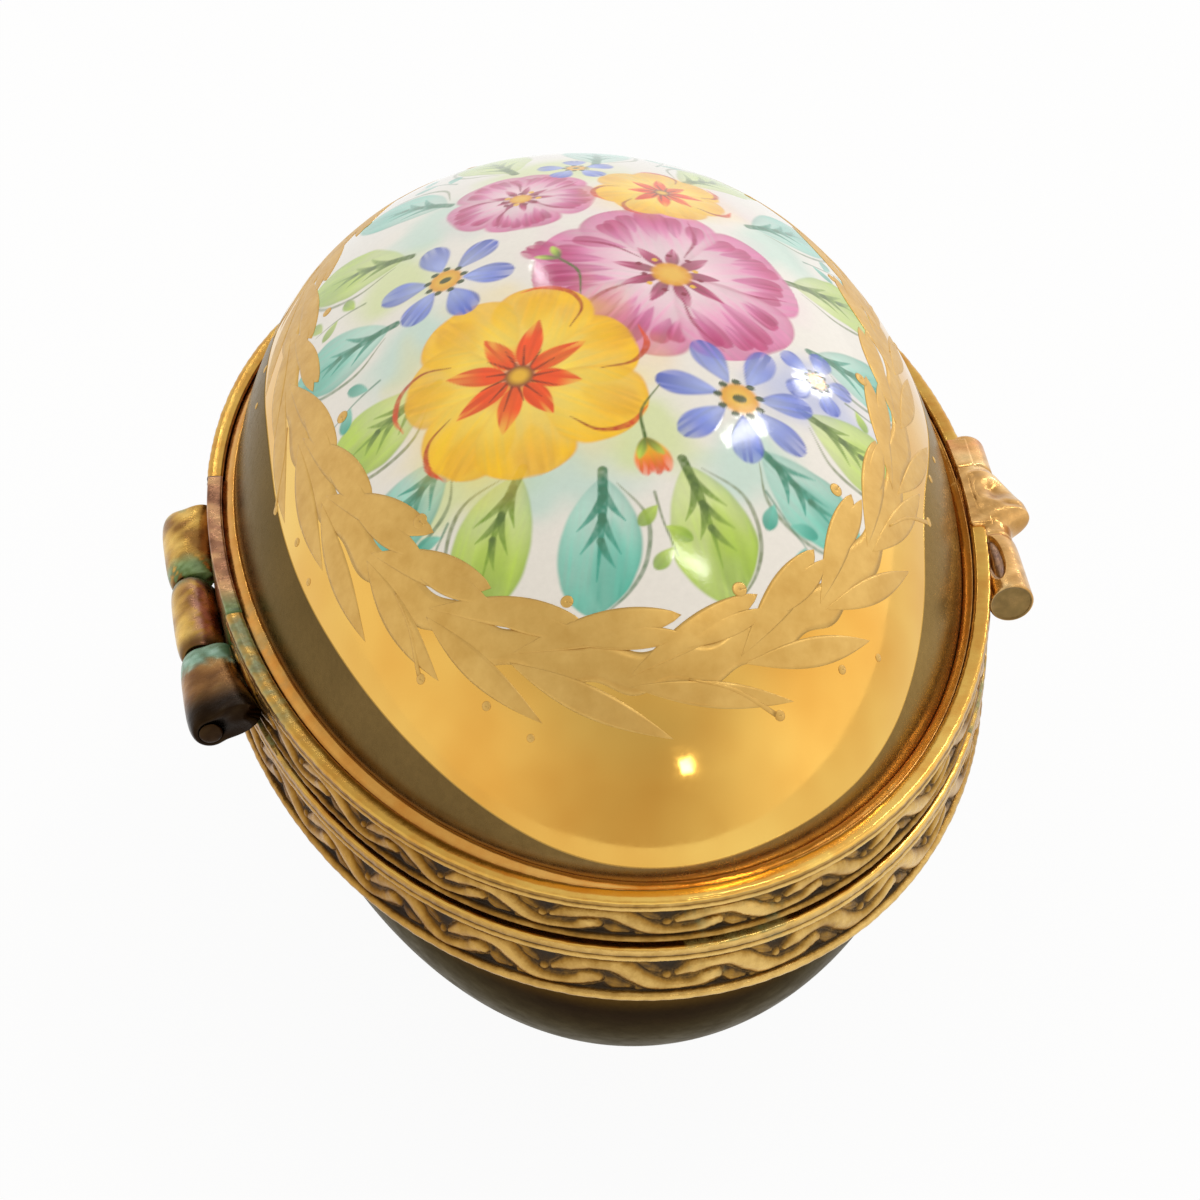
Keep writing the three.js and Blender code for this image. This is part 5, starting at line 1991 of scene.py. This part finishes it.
def studio_floor():
    """A pale floor that the camera and every mirror see as a backdrop, with the shadow kept."""
    look = Look("pale_floor", linear(240, 239, 237), roughness=0.7)
    look.shader.inputs["Specular IOR Level"].default_value = 0.05
    rays = look.node("ShaderNodeLightPath")
    seen = look.math("ADD", rays.outputs["Is Camera Ray"], rays.outputs["Is Glossy Ray"], clamp=True)
    seen = look.math("ADD", seen, rays.outputs["Is Transmission Ray"], clamp=True)
    backdrop = look.node("ShaderNodeEmission", {"Color": WHITE, "Strength": 1.0})
    share = look.math("MULTIPLY", seen, BACKDROP_SHARE)
    mix = look.node("ShaderNodeMixShader", {0: share, 1: look.shader.outputs[0], 2: backdrop.outputs[0]})
    output = look.tree.nodes["Material Output"]
    look.tree.links.new(mix.outputs[0], output.inputs["Surface"])
    turns = full_turn(FLOOR_SIDES)
    rim = np.stack([np.cos(turns) * STAGE_RADIUS, np.sin(turns) * STAGE_RADIUS, 0 * turns], -1)
    mesh = bpy.data.meshes.new("floor")
    mesh.from_pydata(rim.tolist(), [], [tuple(range(FLOOR_SIDES))])
    mesh.materials.append(look.material)
    floor = in_scene("floor", mesh)


def studio_surround():
    """Pale near the horizon, calmer overhead, darker towards the front and brighter to the right."""
    world = bpy.data.worlds.new("studio")
    bpy.context.scene.world = world
    world.use_nodes = True
    nodes = Nodes(world.node_tree)
    way = nodes.node("ShaderNodeTexCoord").outputs["Generated"]
    split = nodes.node("ShaderNodeSeparateXYZ", {"Vector": way})
    ahead = nodes.math("MULTIPLY", split.outputs["Y"], -1.0)
    levels = ((0.0, 1.04), (0.16, 1.04), (0.42, 0.98), (0.68, 0.76), (1.0, 0.78))
    rise = nodes.ramp(split.outputs["Z"], [(height, (s, s * 0.985, s * 0.955, 1)) for height, s in levels])
    front = nodes.ramp(ahead, [(0.45, WHITE), (0.92, (0.66, 0.6, 0.52, 1))])
    right = nodes.ramp(split.outputs["X"], [(0.0, WHITE), (0.6, (1.2, 1.2, 1.22, 1))])
    lit = nodes.mix(1.0, nodes.mix(1.0, rise, front, "MULTIPLY"), right, "MULTIPLY")
    nodes.tree.links.new(lit, nodes.tree.nodes["Background"].inputs["Color"])


def softbox(name, way, distance, width, height, radiance, color=(1, 1, 1)):
    """A lamp in a direction from the egg, as bright as its radiance says, facing it."""
    light = bpy.data.lights.new(name, "AREA")
    light.shape = "RECTANGLE"
    light.size, light.size_y = width, height
    light.energy = radiance * math.pi * width * height
    light.color = color
    lamp = in_scene(name, light)
    way = Vector(way).normalized()
    place = Vector(EGG_ORIGIN) + way * distance
    lamp.matrix_world = Matrix.Translation(place) @ (-way).to_track_quat("-Z", "Y").to_matrix().to_4x4()


studio_floor()
studio_surround()
softbox("key", (0.58, 0.40, 0.71), 0.60, 0.035, 0.15, 13.0, (1.0, 0.98, 0.95))
softbox("rim", (0.71, 0.62, 0.33), 0.60, 0.03, 0.10, 13.0, (1.0, 0.98, 0.95))
softbox("overhead", (0.33, -0.10, 0.94), 0.60, 0.035, 0.13, 15.0, (1.0, 0.98, 0.94))
softbox("back", (-0.06, 0.82, 0.57), 0.60, 0.02, 0.05, 7.0)
softbox("front", (0.21, -0.85, 0.48), 0.60, 0.05, 0.05, 9.0, (1.0, 0.95, 0.86))


# Camera: fitted to the photographed outlines
CAMERA_ELEVATION = math.radians(37.553)
CAMERA_AZIMUTH = math.radians(-7.194)
CAMERA_ROLL = math.radians(-0.797)
CAMERA_DISTANCE = 168.57
CAMERA_TARGET = np.array([-0.093, -1.953, -1.840])
SENSOR = 36.0
PHOTO_WIDTH = 1200
FOCAL_SHARE = 3036.67 / PHOTO_WIDTH
NEAREST_SEEN = 0.005


def photo_camera():
    el, az, roll = CAMERA_ELEVATION, CAMERA_AZIMUTH, CAMERA_ROLL
    back = np.array([math.sin(az) * math.cos(el), -math.cos(az) * math.cos(el), math.sin(el)])
    right = np.array([math.cos(az), math.sin(az), 0.0])
    up = np.cross(back, right)
    side = math.cos(roll) * right + math.sin(roll) * up
    top = -math.sin(roll) * right + math.cos(roll) * up
    place = placed(CAMERA_TARGET + back * CAMERA_DISTANCE)
    camera = bpy.data.cameras.new("camera")
    camera.sensor_width = SENSOR
    camera.lens = SENSOR * FOCAL_SHARE
    camera.clip_start = NEAREST_SEEN
    thing = in_scene("camera", camera)
    columns = np.column_stack([side, top, back, place])
    thing.matrix_world = Matrix([*columns.tolist(), [0, 0, 0, 1]])
    bpy.context.scene.camera = thing


photo_camera()
bpy.context.scene.view_settings.view_transform = "Standard"
